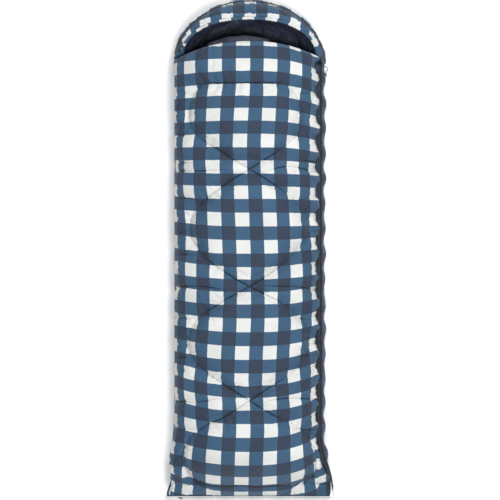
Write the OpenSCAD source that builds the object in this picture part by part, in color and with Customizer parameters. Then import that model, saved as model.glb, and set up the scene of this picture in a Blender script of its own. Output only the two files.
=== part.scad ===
// Rectangular sleeping bag with a hood, lying on its back and zipped shut.
// X runs across the bag, +Y towards the head, +Z up. The floor is z = 0.
// The cover is hinged along the fold on the left. An L-shaped zip runs down
// the right side and across the foot.

/* [Bag] */
// Half the width of the filled bag, from the middle to the side fold
body_half_w = 330; // [275:1:400]
// Height of the side fold above the floor, half the height of the bag
fold_z = 140; // [116:1:170]
// Where the bag ends and the hood begins
head_y = 815; // [680:1:980]
// Where the foot starts to taper
foot_start_y = -880; // [-1060:1:-740]
// Length of the tapered foot
foot_len = 204; // [170:1:250]
// How far the foot corners spread past the body
foot_flare = 20; // [0:1:24]

/* [Layers] */
// Outer fabric thickness, with its coating
shell_t = 0.9; // [0.7:0.1:1.2]
// Lining fabric thickness
lining_t = 0.8; // [0.6:0.1:1.2]
// Thickness of the whole quilt on the cover
cover_loft = 50; // [34:1:60]
// Thickness of the whole quilt under the sleeper
base_loft = 46; // [34:1:56]
// Air between neighbouring layers
layer_gap = 0.3; // [0.2:0.1:0.5]

/* [Neck] */
// How far the cover reaches up past the hood line in the middle
neck_reach = 105; // [85:1:120]
// How much lower the cover's top edge is at the sides
neck_drop = 84; // [60:1:95]

/* [Hood] */
// Depth of the hood from its start to its far edge
hood_len = 280; // [235:1:335]
// Thickness of the hood's quilt at the brim
brim_loft = 16; // [12:1:20]
// Width of the drawcord tunnel
casing_d = 13; // [12:0.5:16]
// Diameter of the piping around the hood
piping_d = 5; // [3:0.5:6]

/* [Zip] */
// Angle around the side at which the zip sits, above the fold line
zip_angle = 19.5; // [16:0.5:24]
// Distance from the middle of the zip to the edge of its tape
tape_half_w = 15.2; // [12:0.1:18]
// Half the gap between the two coils, where the slider's neck runs
coil_gap = 0.9; // [0.8:0.05:1.2]
// Width of one coil
coil_w = 2.8; // [2.4:0.1:3.2]
// Height of a coil
coil_h = 2.6; // [2.2:0.1:3]
// Length of a zip slider
slider_len = 16; // [13:0.5:18]
// Length of a pull tab past its hinge
pull_len = 20; // [16:0.5:24]

/* [Drawcord] */
// Diameter of the hood's drawcord
cord_d = 3.6; // [3:0.1:4]
// Diameter of the cord lock's barrel
lock_d = 13; // [12:0.5:15]
// How far the plunger is pressed
lock_press = 1.6; // [1.2:0.1:1.8]

/* [Hidden] */

// Colours
check_blue = [0.25, 0.36, 0.47];
navy = [0.09, 0.10, 0.13];
wadding_white = [0.90, 0.90, 0.88];
gunmetal = [0.30, 0.31, 0.33];

// Section shape: the exponents of the rounded upper and the flatter lower half
top_power = 2;
base_power = 3.2;
// How sharply the cover's neck edge falls away at the sides
neck_power = 2.2;
// The lower half is drawn a little too deep and cut off flat by the floor
floor_cut = 6;
// Half height and half depth of the bag at the foot seam
seam_z = 60;
seam_h_top = 26;
seam_h_base = 24;
// The widest share of a half height that a quilt may fill
max_fill = 0.85;
// Gap between cover and base along the fold
fold_gap = 0.2;
// How far past the tape the quilts stop
edge_gap = 0.3;
// Points along a section and around the hood
arc_steps = 26;
hood_steps = 22;
hood_arc_steps = 16;

function lerp(a, b, t) = a + (b - a) * t;
function clamp01(t) = min(1, max(0, t));
function smooth(t) = let(c = clamp01(t)) c * c * (3 - 2 * c);
function unit(v) = v / norm(v);
function signed_pow(v, e) = sign(v) * pow(abs(v), e);

// ---- the bag's outline at a station; s is 0 along the body and 1 at the foot seam
function z_fold(s) = lerp(fold_z, seam_z, smooth(s));
function h_top(s) = seam_h_top + (fold_z - seam_h_top) * cos(90 * s);
function h_base(s) = seam_h_base + (fold_z + floor_cut - seam_h_base) * cos(90 * s);
function w_right(s) = body_half_w + (foot_flare - 2) * smooth(s);
// The left foot corner spreads on the base only, below the fold
function w_left(s, is_base) = body_half_w + (is_base ? foot_flare * smooth((s - 0.6) / 0.4) : 0);

// Depth of a layer boundary: share 0 is the outside, 1 the inside of the quilt
function loft(s, is_top) = is_top
    ? min(cover_loft, max_fill * h_top(s))
    : min(base_loft, max_fill * h_base(s));

// A point of the section at station s, at angle a, at depth d below the outside.
// Angle 0 is the right side, 90 the crown, 180 the fold and -90 the floor.
function section_point(s, a, d, is_base) =
    let(
        is_top = a > 0,
        e = is_top ? 2 / top_power : 2 / base_power,
        w = cos(a) >= 0 ? w_right(s) : w_left(s, is_base),
        h = is_top ? h_top(s) : h_base(s),
        x = (w - d) * signed_pow(cos(a), e),
        z = max(d, z_fold(s) + (h - d) * signed_pow(sin(a), e))
    )
    [x, z];

// Walk along the outline from angle a until a length is used up
function walk(s, a, left, step) =
    left <= 0 ? a : walk(s, a + step,
        left - norm(section_point(s, a + step, 0, false) - section_point(s, a, 0, false)), step);

function zip_a(s) = zip_angle * (1 - smooth(s));
edge_half = tape_half_w + edge_gap;
function front_a(s) = walk(s, zip_a(s), edge_half, 0.1);
function base_a(s) = walk(s, zip_a(s), edge_half, -0.1);

// ---- stations: [s, f]; f runs from 0 to 1 up the curved neck of the cover
foot_shares = [1, 0.96, 0.9, 0.8, 0.7, 0.55, 0.4, 0.2, 0];
neck_start_y = head_y - 115;
body_stations = [for (s = foot_shares) [s, 0]];
cover_stations = concat(body_stations, [for (f = [0.01, 0.25, 0.5, 0.75, 0.9, 1]) [0, f]]);

function neck_edge_y(x) =
    head_y + neck_reach - neck_drop * pow(min(1, abs(x) / body_half_w), neck_power);
function foot_y(s) = foot_start_y - foot_len * s;

// A cover point. Towards the neck edge the quilt thins and drops a little
neck_thin = 0.5;
neck_sink = 0.05;
function cover_point(st, a, share, inset) =
    let(
        s = st[0],
        f = st[1],
        thick = loft(s, true) * (1 - neck_thin * f * f),
        d = share * thick + inset,
        p = section_point(s, a, d, false),
        rise = p[1] - z_fold(s),
        z = max(z_fold(s) + fold_gap, z_fold(s) + rise * (1 - neck_sink * f * f)),
        y = f > 0 ? lerp(neck_start_y, neck_edge_y(p[0]), f) : foot_y(s)
    )
    [p[0], y, z];

function base_point(s, a, share, inset, y) =
    let(
        p = section_point(s, a, share * loft(s, a > 0) + inset, true),
        z = p[0] < 0 ? min(p[1], z_fold(s) - fold_gap) : p[1]
    )
    [p[0], y, z];

// ---- solids
// A closed band between two grids of points of equal size
module band(outer, inner) {
    rows = len(outer);
    cols = len(outer[0]);
    shift = rows * cols;
    points = concat([for (r = outer, p = r) p], [for (r = inner, p = r) p]);
    function at(j, i) = j * cols + i;
    skins = [for (j = [0 : rows - 2], i = [0 : cols - 2])
        let(a = at(j, i), b = at(j, i + 1), c = at(j + 1, i + 1), d = at(j + 1, i))
        each [[a, b, c], [a, c, d],
              [shift + a, shift + c, shift + b], [shift + a, shift + d, shift + c]]];
    row_ends = [for (i = [0 : cols - 2])
        let(a = at(0, i), b = at(0, i + 1), c = at(rows - 1, i), d = at(rows - 1, i + 1))
        each [[a, shift + a, b], [b, shift + a, shift + b],
              [c, d, shift + c], [d, shift + d, shift + c]]];
    col_ends = [for (j = [0 : rows - 2])
        let(a = at(j, 0), b = at(j + 1, 0), c = at(j, cols - 1), d = at(j + 1, cols - 1))
        each [[a, b, shift + a], [b, shift + b, shift + a],
              [c, shift + c, d], [d, shift + c, shift + d]]];
    polyhedron(points, concat(skins, row_ends, col_ends), convexity = 8);
}

// A layer of the cover between two depths, each a share of the loft and an inset
module cover_layer(from_depth, to_depth) {
    grid = [for (depth = [from_depth, to_depth])
        [for (st = cover_stations)
            let(a0 = front_a(st[0]))
            [for (i = [0 : arc_steps])
                cover_point(st, lerp(a0, 180, i / arc_steps), depth[0], depth[1])]]];
    band(grid[0], grid[1]);
}

// The same for the base, from the zip round underneath to the fold
module base_layer(from_depth, to_depth) {
    rows = concat([for (s = foot_shares) [s, foot_y(s)]], [[0, head_y]]);
    grid = [for (depth = [from_depth, to_depth])
        [for (r = rows)
            let(a0 = base_a(r[0]))
            [for (i = [arc_steps : -1 : 0])
                base_point(r[0], lerp(a0, -180, i / arc_steps), depth[0], depth[1], r[1])]]];
    band(grid[0], grid[1]);
}

// ---- hood: the section is carried round a half ellipse
brim_a_side = 8;
brim_a_mid = 38.8;
brim_power = 1.5;
// The brim stays at the cover's edges until it is past the cover's neck
brim_clear_deg = 9;
brim_rise_deg = 9;
brim_a_zip = 12;
hood_bottom_a = -89.9;
function brim_angle(t) =
    let(
        arch = lerp(brim_a_side, brim_a_mid, pow(sin(t), brim_power)),
        from_zip = smooth((t - brim_clear_deg) / brim_rise_deg),
        from_fold = smooth((180 - brim_clear_deg - t) / brim_rise_deg)
    )
    t < 90 ? lerp(brim_a_zip, arch, from_zip) : lerp(-0.4, arch, from_fold);

function hood_loft(a) = lerp(base_loft, brim_loft, smooth((a + 10) / 35));
function hood_point(t, a, share, inset) =
    let(
        d = share * hood_loft(a) + inset,
        e = a > 0 ? 2 / top_power : 2 / base_power,
        h = a > 0 ? fold_z : fold_z + floor_cut,
        k = pow(cos(a), e),
        z = max(d, fold_z + (h - d) * signed_pow(sin(a), e))
    )
    [(body_half_w - d) * k * cos(t), head_y + (hood_len - d) * k * sin(t), z];

module hood_layer(from_depth, to_depth) {
    grid = [for (depth = [from_depth, to_depth])
        [for (j = [0 : hood_steps])
            let(t = 180 * j / hood_steps)
            [for (i = [0 : hood_arc_steps])
                hood_point(t, lerp(hood_bottom_a, brim_angle(t), i / hood_arc_steps),
                    depth[0], depth[1])]]];
    band(grid[1], grid[0]);
}

// Middle of the drawcord tunnel, just past the brim
casing_clear = 1.6;
function casing_point(t) =
    let(
        a = brim_angle(t),
        p = hood_point(t, a, 0.5, 0),
        q = hood_point(t, a + 2, 0.5, 0)
    )
    p + unit(q - p) * (casing_d / 2 + casing_clear);

// ---- sweeps
// A round tube along a path, solid or hollow; no stretch of the path is upright
module tube(path, d, sides, hole_d = 0) {
    count = len(path);
    function direction(k) = unit(path[min(count - 1, k + 1)] - path[max(0, k - 1)]);
    function ring(k, r) =
        let(
            t = direction(k),
            side = unit(cross(t, [0, 0, 1])),
            up = cross(side, t)
        )
        [for (i = [0 : sides - 1])
            path[k] + r * (cos(360 * i / sides) * side + sin(360 * i / sides) * up)];
    outer = [for (k = [0 : count - 1], p = ring(k, d / 2)) p];
    inner = [for (k = [0 : count - 1], p = ring(k, hole_d / 2)) p];
    shift = count * sides;
    walls = [for (k = [0 : count - 2], i = [0 : sides - 1])
        let(
            a = k * sides + i,
            b = k * sides + (i + 1) % sides,
            c = b + sides,
            e = a + sides
        )
        each [[a, c, b], [a, e, c]]];
    last = (count - 1) * sides;
    if (hole_d == 0) {
        caps = [[for (i = [0 : sides - 1]) i], [for (i = [sides - 1 : -1 : 0]) last + i]];
        polyhedron(outer, concat(walls, caps), convexity = 4);
    } else {
        bore = [for (f = walls) [shift + f[0], shift + f[2], shift + f[1]]];
        rims = [for (i = [0 : sides - 1])
            let(j = (i + 1) % sides)
            each [[i, j, shift + i], [j, shift + j, shift + i],
                  [last + i, shift + last + i, last + j],
                  [last + j, shift + last + i, shift + last + j]]];
        polyhedron(concat(outer, inner), concat(walls, bore, rims), convexity = 6);
    }
}

// A strip with one profile of [across, outwards] points along framed stations
// [place, across, outwards]
module strip(frames, profile) {
    sides = len(profile);
    count = len(frames);
    points = [for (f = frames, q = profile) f[0] + q[0] * f[1] + q[1] * f[2]];
    walls = [for (k = [0 : count - 2], i = [0 : sides - 1])
        let(
            a = k * sides + i,
            b = k * sides + (i + 1) % sides,
            c = b + sides,
            e = a + sides
        )
        each [[a, b, c], [a, c, e]]];
    last = (count - 1) * sides;
    caps = [[for (i = [sides - 1 : -1 : 0]) i], [for (i = [0 : sides - 1]) last + i]];
    polyhedron(points, concat(walls, caps), convexity = 4);
}

// ---- zip route: down the side, round the right foot corner, across the foot
seam_stand_off = 5;
foot_stand_off = 6;
foot_chain_y = foot_y(1) - foot_stand_off;
corner_x = w_right(1);
zip_top_y = head_y + 26;
slider_y = head_y + 11;
zip_shares = [0, 0.1, 0.2, 0.3, 0.4, 0.5, 0.6, 0.7, 0.8, 0.9, 0.97];

// Across points towards the base, outwards away from the bag
function side_frame(s, y) =
    let(
        a = zip_a(s),
        p = section_point(s, a, 0, false),
        over = section_point(s, a + 1, 0, false),
        under = section_point(s, a - 1, 0, false),
        t = unit(under - over),
        out = [-t[1], 0, t[0]],
        place = [p[0], y, p[1]] + out * seam_stand_off * smooth(s)
    )
    [place, [t[0], 0, t[1]], out];
function foot_frame(x, y, turn) = [[x, y, seam_z], [0, 0, -1], [cos(turn), -sin(turn), 0]];

foot_chain_end_x = -body_half_w + 10;
foot_slider_x = -body_half_w + 28;
// The turn round the right foot corner: [x past the corner, y past the foot seam, turn]
corner_turn = [[5, 2, 8], [4, -3, 35], [0, -5.5, 70], [-8, -foot_stand_off, 90]];
corner_frames = [for (c = corner_turn) foot_frame(corner_x + c[0], foot_y(1) + c[1], c[2])];
function chain(top_y, end_x) = concat(
    [side_frame(0, top_y)],
    [for (s = zip_shares) side_frame(s, foot_y(s))],
    corner_frames,
    [foot_frame(end_x, foot_chain_y, 90)]
);
// The cover's half of the chain stops clear of both parked sliders
park_gap = 1.5;
front_top_y = slider_y - slider_len / 2 - park_gap;
front_end_x = foot_slider_x + slider_len / 2 + park_gap;
front_chain = chain(front_top_y, front_end_x);
base_chain = chain(zip_top_y, foot_chain_end_x);

tape_t = 1;
coil_edge = coil_gap + coil_w;
// side is 1 on the base and -1 on the cover; the points keep one turning sense
function tape_profile(side) =
    let(
        a = side > 0 ? coil_edge : -tape_half_w,
        b = side > 0 ? tape_half_w : -coil_edge
    )
    [[a, -tape_t / 2], [b, -tape_t / 2], [b, tape_t / 2], [a, tape_t / 2]];
function coil_profile(side) =
    let(mid = side * (coil_gap + coil_w / 2))
    [for (i = [0 : 7])
        [mid + coil_w / 2 * cos(45 * i), coil_h / 2 * sin(45 * i)]];

// ---- slider, in its own frame: X closes the zip, Y is across, Z is outwards
plate_t = 1.4;
plate_z = coil_h / 2 + 0.6;
plate_half_w = 6.6;
neck_t = 1;
neck_from = 6;
neck_len = 5.5;
flange_w = 1.1;
flange_drop = 1;
lug_gap = 4.8;
lug_t = 1.1;
lug_len = 4.4;
lug_over_pin = 2.2;
hinge_z = plate_z + plate_t + 1.9;
pin_d = 2;
pin_play = 0.25;
pull_t = 1.4;
pull_stem_w = 4;
pull_eye_r = 4.4;
pull_hole_d = 4;

module slider() {
    difference() {
        union() {
            for (z = [plate_z, -plate_z - plate_t])
                translate([-slider_len / 2, -plate_half_w, z])
                    cube([slider_len, 2 * plate_half_w, plate_t]);
            translate([slider_len / 2 - neck_from, -neck_t / 2, -plate_z - 0.1])
                cube([neck_len, neck_t, 2 * plate_z + 0.2]);
            for (y = [-plate_half_w, plate_half_w - flange_w])
                translate([-slider_len / 2, y, plate_z - flange_drop])
                    cube([slider_len, flange_w, flange_drop + 0.1]);
            for (y = [lug_gap / 2, -lug_gap / 2 - lug_t])
                translate([-lug_len / 2, y, plate_z + plate_t - 0.1])
                    cube([lug_len, lug_t, hinge_z - plate_z - plate_t + lug_over_pin]);
        }
        translate([0, 0, hinge_z])
            rotate([90, 0, 0])
                cylinder(d = pin_d + pin_play, h = 20, center = true, $fn = 32);
    }
}

// The tab lies over the slider and points away from the closing end
module pull_tab() {
    translate([0, 0, hinge_z]) {
        rotate([90, 0, 0])
            cylinder(d = pin_d, h = lug_gap + 2 * lug_t, center = true, $fn = 32);
        difference() {
            union() {
                translate([pull_eye_r - pull_len, -pull_stem_w / 2, -pull_t / 2])
                    cube([pull_len - pull_eye_r, pull_stem_w, pull_t]);
                translate([pull_eye_r - pull_len, 0, -pull_t / 2])
                    cylinder(r = pull_eye_r, h = pull_t, $fn = 48);
            }
            translate([pull_eye_r - pull_len, 0, -pull_t])
                cylinder(d = pull_hole_d, h = 2 * pull_t, $fn = 32);
        }
    }
}

zip_frame = side_frame(0, slider_y);
zip_tilt = atan2(zip_frame[2][0], zip_frame[2][2]);
module on_side_zip() {
    translate(zip_frame[0]) rotate([0, zip_tilt, 0]) rotate([0, 0, 90]) children();
}
module on_foot_zip() {
    translate([foot_slider_x, foot_chain_y, seam_z])
        rotate([90, 0, 0])
            rotate([0, 0, 180])
                children();
}

// ---- drawcord at the left end of the brim
casing_first_deg = 19;
casing_last_deg = 161;
casing_steps = 30;
function casing_t(k) = lerp(casing_first_deg, casing_last_deg, k / casing_steps);
casing_path = [for (k = [0 : casing_steps]) casing_point(casing_t(k))];
cord_out = casing_path[casing_steps];
// The tail leaves the tunnel and runs level, turned from -Y towards -X
tail_turn = 37;
tail_run = 31;
tail_dir = [-sin(tail_turn), -cos(tail_turn), 0];
tail_path = [for (k = [0 : 8]) cord_out + tail_dir * tail_run * k / 8];
// Reach along the tail to the cord lock, and the eyelet's place in front of the tunnel
lock_reach = 16;
eyelet_from = 1.5;
eyelet_len = 1.6;
lock_h = 13;
plunger_d = 8.4;
plunger_play = 0.3;
plunger_proud = 3.8;
lock_floor = 1.2;
// The cord pass is a slot between the plunger's legs, which rest on the spring
cord_play = 0.3;
pass_d = cord_d + 2 * cord_play;
spring_d = 6.4;
spring_wire = 0.5;
spring_turns = 2;
spring_ring_steps = 12;
spring_gap = 0.1;
plunger_z = -cord_d / 2 - 0.2;
plunger_h = lock_h / 2 + plunger_proud - plunger_z;

// Knot and route of the pull cord, hanging over the side of the bag
pull_eye = zip_frame[0] + zip_frame[2] * hinge_z + [0, pull_eye_r - pull_len, 0];
pull_cord_d = 3;
pull_route = [
    [0, 0, 1.2], [3.5, -0.4, 1], [8, -1, -2], [12, -1.6, -7], [16, -2.4, -13],
    [20, -4, -19], [24.5, -6.5, -24], [28, -9.5, -28], [29.6, -13, -31],
    [29, -17, -33.5], [26.6, -21, -35.5], [23.6, -25, -37], [21.4, -29, -38.2],
    [20.4, -33, -39.2]
];
pull_knot_d = 7;

// ---- sub-parts
module back_shell() { color(check_blue) base_layer([0, 0], [0, shell_t]); }
module back_insulation() {
    color(wadding_white) base_layer([0, shell_t + layer_gap], [1, -lining_t - layer_gap]);
}
module back_lining() { color(navy) base_layer([1, -lining_t], [1, 0]); }

module hood_shell() { color(check_blue) hood_layer([0, 0], [0, shell_t]); }
module hood_insulation() {
    color(wadding_white) hood_layer([0, shell_t + layer_gap], [1, -lining_t - layer_gap]);
}
module hood_lining() { color(navy) hood_layer([1, -lining_t], [1, 0]); }

module front_shell() { color(check_blue) cover_layer([0, 0], [0, shell_t]); }
module front_insulation() {
    color(wadding_white) cover_layer([0, shell_t + layer_gap], [1, -lining_t - layer_gap]);
}
module front_lining() { color(navy) cover_layer([1, -lining_t], [1, 0]); }

// Padded tube sewn behind the zip inside the cover, with its seam flange
draft_d = 27;
draft_flange_t = 3;
module front_draft_tube() {
    corner = section_point(0, front_a(0), cover_loft, false);
    drop = draft_d / 2 + 6;
    color(navy)
        translate([corner[0] + 1, foot_start_y + 10, corner[1] - drop])
            rotate([90, 0, 180])
                mirror([1, 0, 0])
                    linear_extrude(neck_start_y - foot_start_y - 10)
                        union() {
                            circle(d = draft_d, $fn = 64);
                            translate([-draft_flange_t / 2 - 1, 0])
                                square([draft_flange_t, drop - 0.6]);
                        }
}

piping_a = 7;
module hood_piping() {
    path = [for (k = [0 : 34])
        let(
            t = lerp(3, 180 - brim_clear_deg - brim_rise_deg, k / 34),
            p = hood_point(t, piping_a, 0, -piping_d / 2 - 0.4)
        )
        p];
    color(navy) tube(path, piping_d, 8);
}

module hood_brim_casing() { color(check_blue) tube(casing_path, casing_d, 10, cord_d + 2.4); }
module hood_drawcord() { color(navy) tube(casing_path, cord_d, 8); }

// Turns Z into the direction of the tail, at a reach along it
module on_tail(reach) {
    translate(cord_out + tail_dir * reach) rotate([0, 0, -tail_turn]) rotate([90, 0, 0]) children();
}

module drawcord_eyelet() {
    color(gunmetal)
        on_tail(eyelet_from)
            rotate_extrude($fn = 48)
                translate([cord_d / 2 + 0.5, 0])
                    square([2.2, eyelet_len]);
}

module drawcord_tail() { color(navy) tube(tail_path, cord_d, 8); }

knot_d = 7.4;
knot_len = 6;
module drawcord_end_knot() {
    color(navy) on_tail(tail_run) cylinder(d = knot_d, h = knot_len, $fn = 40);
}

module at_lock() {
    translate(cord_out + tail_dir * lock_reach) rotate([0, 0, -tail_turn]) children();
}

module cord_lock_barrel() {
    color(navy) at_lock() difference() {
        translate([0, 0, -lock_h / 2]) cylinder(d = lock_d, h = lock_h, $fn = 64);
        translate([0, 0, -lock_h / 2 + lock_floor])
            cylinder(d = plunger_d + 2 * plunger_play, h = lock_h, $fn = 64);
        rotate([90, 0, 0]) cylinder(d = pass_d, h = 2 * lock_d, center = true, $fn = 40);
    }
}

module cord_lock_plunger() {
    color(navy) at_lock() difference() {
        translate([0, 0, plunger_z]) cylinder(d = plunger_d, h = plunger_h, $fn = 64);
        // Slot for the cord, tall enough for the press
        translate([-pass_d / 2, -lock_d, plunger_z - 1])
            cube([pass_d, 2 * lock_d, pass_d / 2 + lock_press + 1 - plunger_z]);
    }
}

module cord_lock_spring() {
    steps = spring_turns * spring_ring_steps;
    low = -lock_h / 2 + lock_floor + spring_wire / 2 + spring_gap;
    high = plunger_z - spring_wire / 2 - spring_gap;
    path = [for (k = [0 : steps])
        let(a = 360 * k / spring_ring_steps)
        [(spring_d - spring_wire) / 2 * cos(a), (spring_d - spring_wire) / 2 * sin(a),
         lerp(low, high, k / steps)]];
    color(gunmetal) at_lock() tube(path, spring_wire, 6);
}

module zip_tape_front() { color(navy) strip(front_chain, tape_profile(-1)); }
module zip_tape_back() { color(navy) strip(base_chain, tape_profile(1)); }
module zip_coil_front() { color(navy) strip(front_chain, coil_profile(-1)); }
module zip_coil_back() { color(navy) strip(base_chain, coil_profile(1)); }

// Metal stop crimped over the end of a coil, open where the tape leaves it
stop_len = 3;
stop_wall = 0.6;
module stop_block() {
    difference() {
        translate([0, coil_gap - stop_wall, -coil_h / 2 - stop_wall])
            cube([stop_len, coil_w + 2 * stop_wall, coil_h + 2 * stop_wall]);
        translate([-1, coil_gap, -coil_h / 2])
            cube([stop_len + 2, coil_w, coil_h]);
        translate([-1, coil_gap, -tape_t / 2])
            cube([stop_len + 2, coil_w + 5, tape_t]);
    }
}
module zip_top_stop() {
    color(gunmetal)
        on_side_zip()
            translate([slider_len / 2 + 1.5, 0, 0])
                mirror([0, 1, 0])
                    stop_block();
}
module zip_bottom_stop() {
    color(gunmetal)
        on_foot_zip()
            translate([slider_len / 2 + 1.5, 0, 0])
                stop_block();
}

// Folded fabric that finishes the top of the base's tape with a pointed corner
module zip_end_tab() {
    tab_t = 2.4;
    color(navy)
        on_side_zip()
            translate([zip_top_y - slider_y + 0.3, 0, -tab_t / 2])
                linear_extrude(tab_t)
                    polygon([[0, -2], [0, -tape_half_w - 3], [4, -tape_half_w - 4], [12, -4]]);
}

module zip_slider() { color(gunmetal) on_side_zip() slider(); }
module zip_pull_tab() { color(gunmetal) on_side_zip() pull_tab(); }
module zip_pull_cord() {
    color(navy) tube([for (p = pull_route) pull_eye + p], pull_cord_d, 8);
}
module zip_pull_knot() {
    last = pull_route[len(pull_route) - 1];
    color(navy)
        translate(pull_eye + last - [0, pull_knot_d / 2 + 0.2, 0])
            sphere(d = pull_knot_d, $fn = 32);
}
module foot_zip_slider() { color(gunmetal) on_foot_zip() slider(); }
module foot_zip_pull_tab() { color(gunmetal) on_foot_zip() pull_tab(); }

// Blank care label sewn inside, by the fold, just off the curve of the lining
label_size = [0.5, 40, 34];
label_stand_off = 5.6;
label_y = -700;
label_drop = 40;
module care_label() {
    color("white")
        translate([-body_half_w + base_loft + label_stand_off, label_y, fold_z - label_drop])
            cube(label_size);
}

back_shell();
back_insulation();
back_lining();
hood_shell();
hood_insulation();
hood_lining();
hood_piping();
hood_brim_casing();
hood_drawcord();
drawcord_eyelet();
drawcord_tail();
drawcord_end_knot();
cord_lock_barrel();
cord_lock_spring();
cord_lock_plunger();
front_shell();
front_insulation();
front_lining();
front_draft_tube();
zip_tape_front();
zip_coil_front();
zip_tape_back();
zip_coil_back();
zip_top_stop();
zip_bottom_stop();
zip_end_tab();
zip_slider();
zip_pull_tab();
zip_pull_cord();
zip_pull_knot();
foot_zip_slider();
foot_zip_pull_tab();
care_label();
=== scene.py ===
import math

import bpy
import numpy as np
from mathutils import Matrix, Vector


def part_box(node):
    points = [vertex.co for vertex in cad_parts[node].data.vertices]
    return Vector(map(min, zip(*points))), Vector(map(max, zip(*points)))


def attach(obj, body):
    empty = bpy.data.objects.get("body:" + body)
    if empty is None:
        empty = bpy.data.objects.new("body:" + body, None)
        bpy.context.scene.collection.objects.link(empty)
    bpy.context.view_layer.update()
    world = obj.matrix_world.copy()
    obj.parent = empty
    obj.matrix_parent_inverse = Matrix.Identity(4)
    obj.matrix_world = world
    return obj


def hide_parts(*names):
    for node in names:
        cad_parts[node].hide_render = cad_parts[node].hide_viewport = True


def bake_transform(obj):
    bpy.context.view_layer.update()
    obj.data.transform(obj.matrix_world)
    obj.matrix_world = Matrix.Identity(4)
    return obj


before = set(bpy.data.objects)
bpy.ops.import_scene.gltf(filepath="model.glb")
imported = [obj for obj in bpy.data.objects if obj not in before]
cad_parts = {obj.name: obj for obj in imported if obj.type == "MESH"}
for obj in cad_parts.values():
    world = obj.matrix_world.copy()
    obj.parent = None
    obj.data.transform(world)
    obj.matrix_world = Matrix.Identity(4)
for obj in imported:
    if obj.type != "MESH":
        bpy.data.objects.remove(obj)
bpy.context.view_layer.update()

# Camera, floor and studio lights. The bag is seen straight from above with its
# head end up, on a plain pale floor, under a wide soft light from the head end.
camera_data = bpy.data.cameras.new("camera")
camera_data.type = "ORTHO"
camera_data.ortho_scale = 2.2
camera_data.clip_end = 50
camera = bpy.data.objects.new("camera", camera_data)
camera.location = (0.0022, 0, 6)
bpy.context.scene.collection.objects.link(camera)
bpy.context.scene.camera = camera
bpy.context.scene.view_settings.view_transform = "Standard"
bpy.context.scene.view_settings.look = "None"


def principled(name, **values):
    """A new material with those values on its Principled shader, its nodes and its links."""
    material = bpy.data.materials.new(name)
    material.use_nodes = True
    nodes, links = material.node_tree.nodes, material.node_tree.links
    shader = nodes["Principled BSDF"]
    for socket, value in values.items():
        shader.inputs[socket.replace("_", " ")].default_value = value
    return material, nodes, links, shader


floor_mesh = bpy.data.meshes.new("floor")
floor_mesh.from_pydata(
    [(-8, -8, 0), (8, -8, 0), (8, 8, 0), (-8, 8, 0)], [], [(0, 1, 2, 3)]
)
floor = bpy.data.objects.new("floor", floor_mesh)
bpy.context.scene.collection.objects.link(floor)
floor_paint, _, _, _ = principled(
    "floor_paper",
    Base_Color=(0.93, 0.93, 0.93, 1),
    Roughness=0.9,
    Specular_IOR_Level=0.1,
    Emission_Color=(1, 1, 1, 1),
    Emission_Strength=0.36,
)
floor_mesh.materials.append(floor_paint)

for light_name, place, aim, size, power in (
    ("head_light", (0.5, 2.8, 1.8), (0, 0, 0.1), 0.7, 26),
    ("overhead_light", (0.3, 0.3, 4.0), (0, -0.1, 0), 1.0, 106),
    ("foot_light", (0.3, -2.6, 1.9), (0, -0.8, 0.1), 0.9, 22),
):
    light_data = bpy.data.lights.new(light_name, "AREA")
    light_data.size = size
    light_data.energy = power
    light = bpy.data.objects.new(light_name, light_data)
    light.location = place
    light.rotation_euler = (
        (Vector(aim) - Vector(place)).to_track_quat("-Z", "Y").to_euler()
    )
    bpy.context.scene.collection.objects.link(light)
world = bpy.data.worlds.new("studio")
world.use_nodes = True
world.node_tree.nodes["Background"].inputs["Color"].default_value = (1, 1, 1, 1)
world.node_tree.nodes["Background"].inputs["Strength"].default_value = 0.13
bpy.context.scene.world = world


# Cord pull of the side zip and tail of the hood's drawcord. Both are braided
# polyester cord; the pull is knotted below its tab, the tail behind its lock.
def rounded_route(points, pieces):
    """Points of a smooth curve through the given points, evenly cut between each two."""
    p = np.array([points[0]] + list(points) + [points[-1]], float)
    out = []
    for k in range(1, len(p) - 2):
        a, b, c, d = p[k - 1 : k + 3]
        for t in np.arange(pieces) / pieces:
            out.append(
                0.5
                * (
                    2 * b
                    + (c - a) * t
                    + (2 * a - 5 * b + 4 * c - d) * t**2
                    + (3 * b - a - 3 * c + d) * t**3
                )
            )
    out.append(p[-2])
    return np.array(out)


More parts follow.
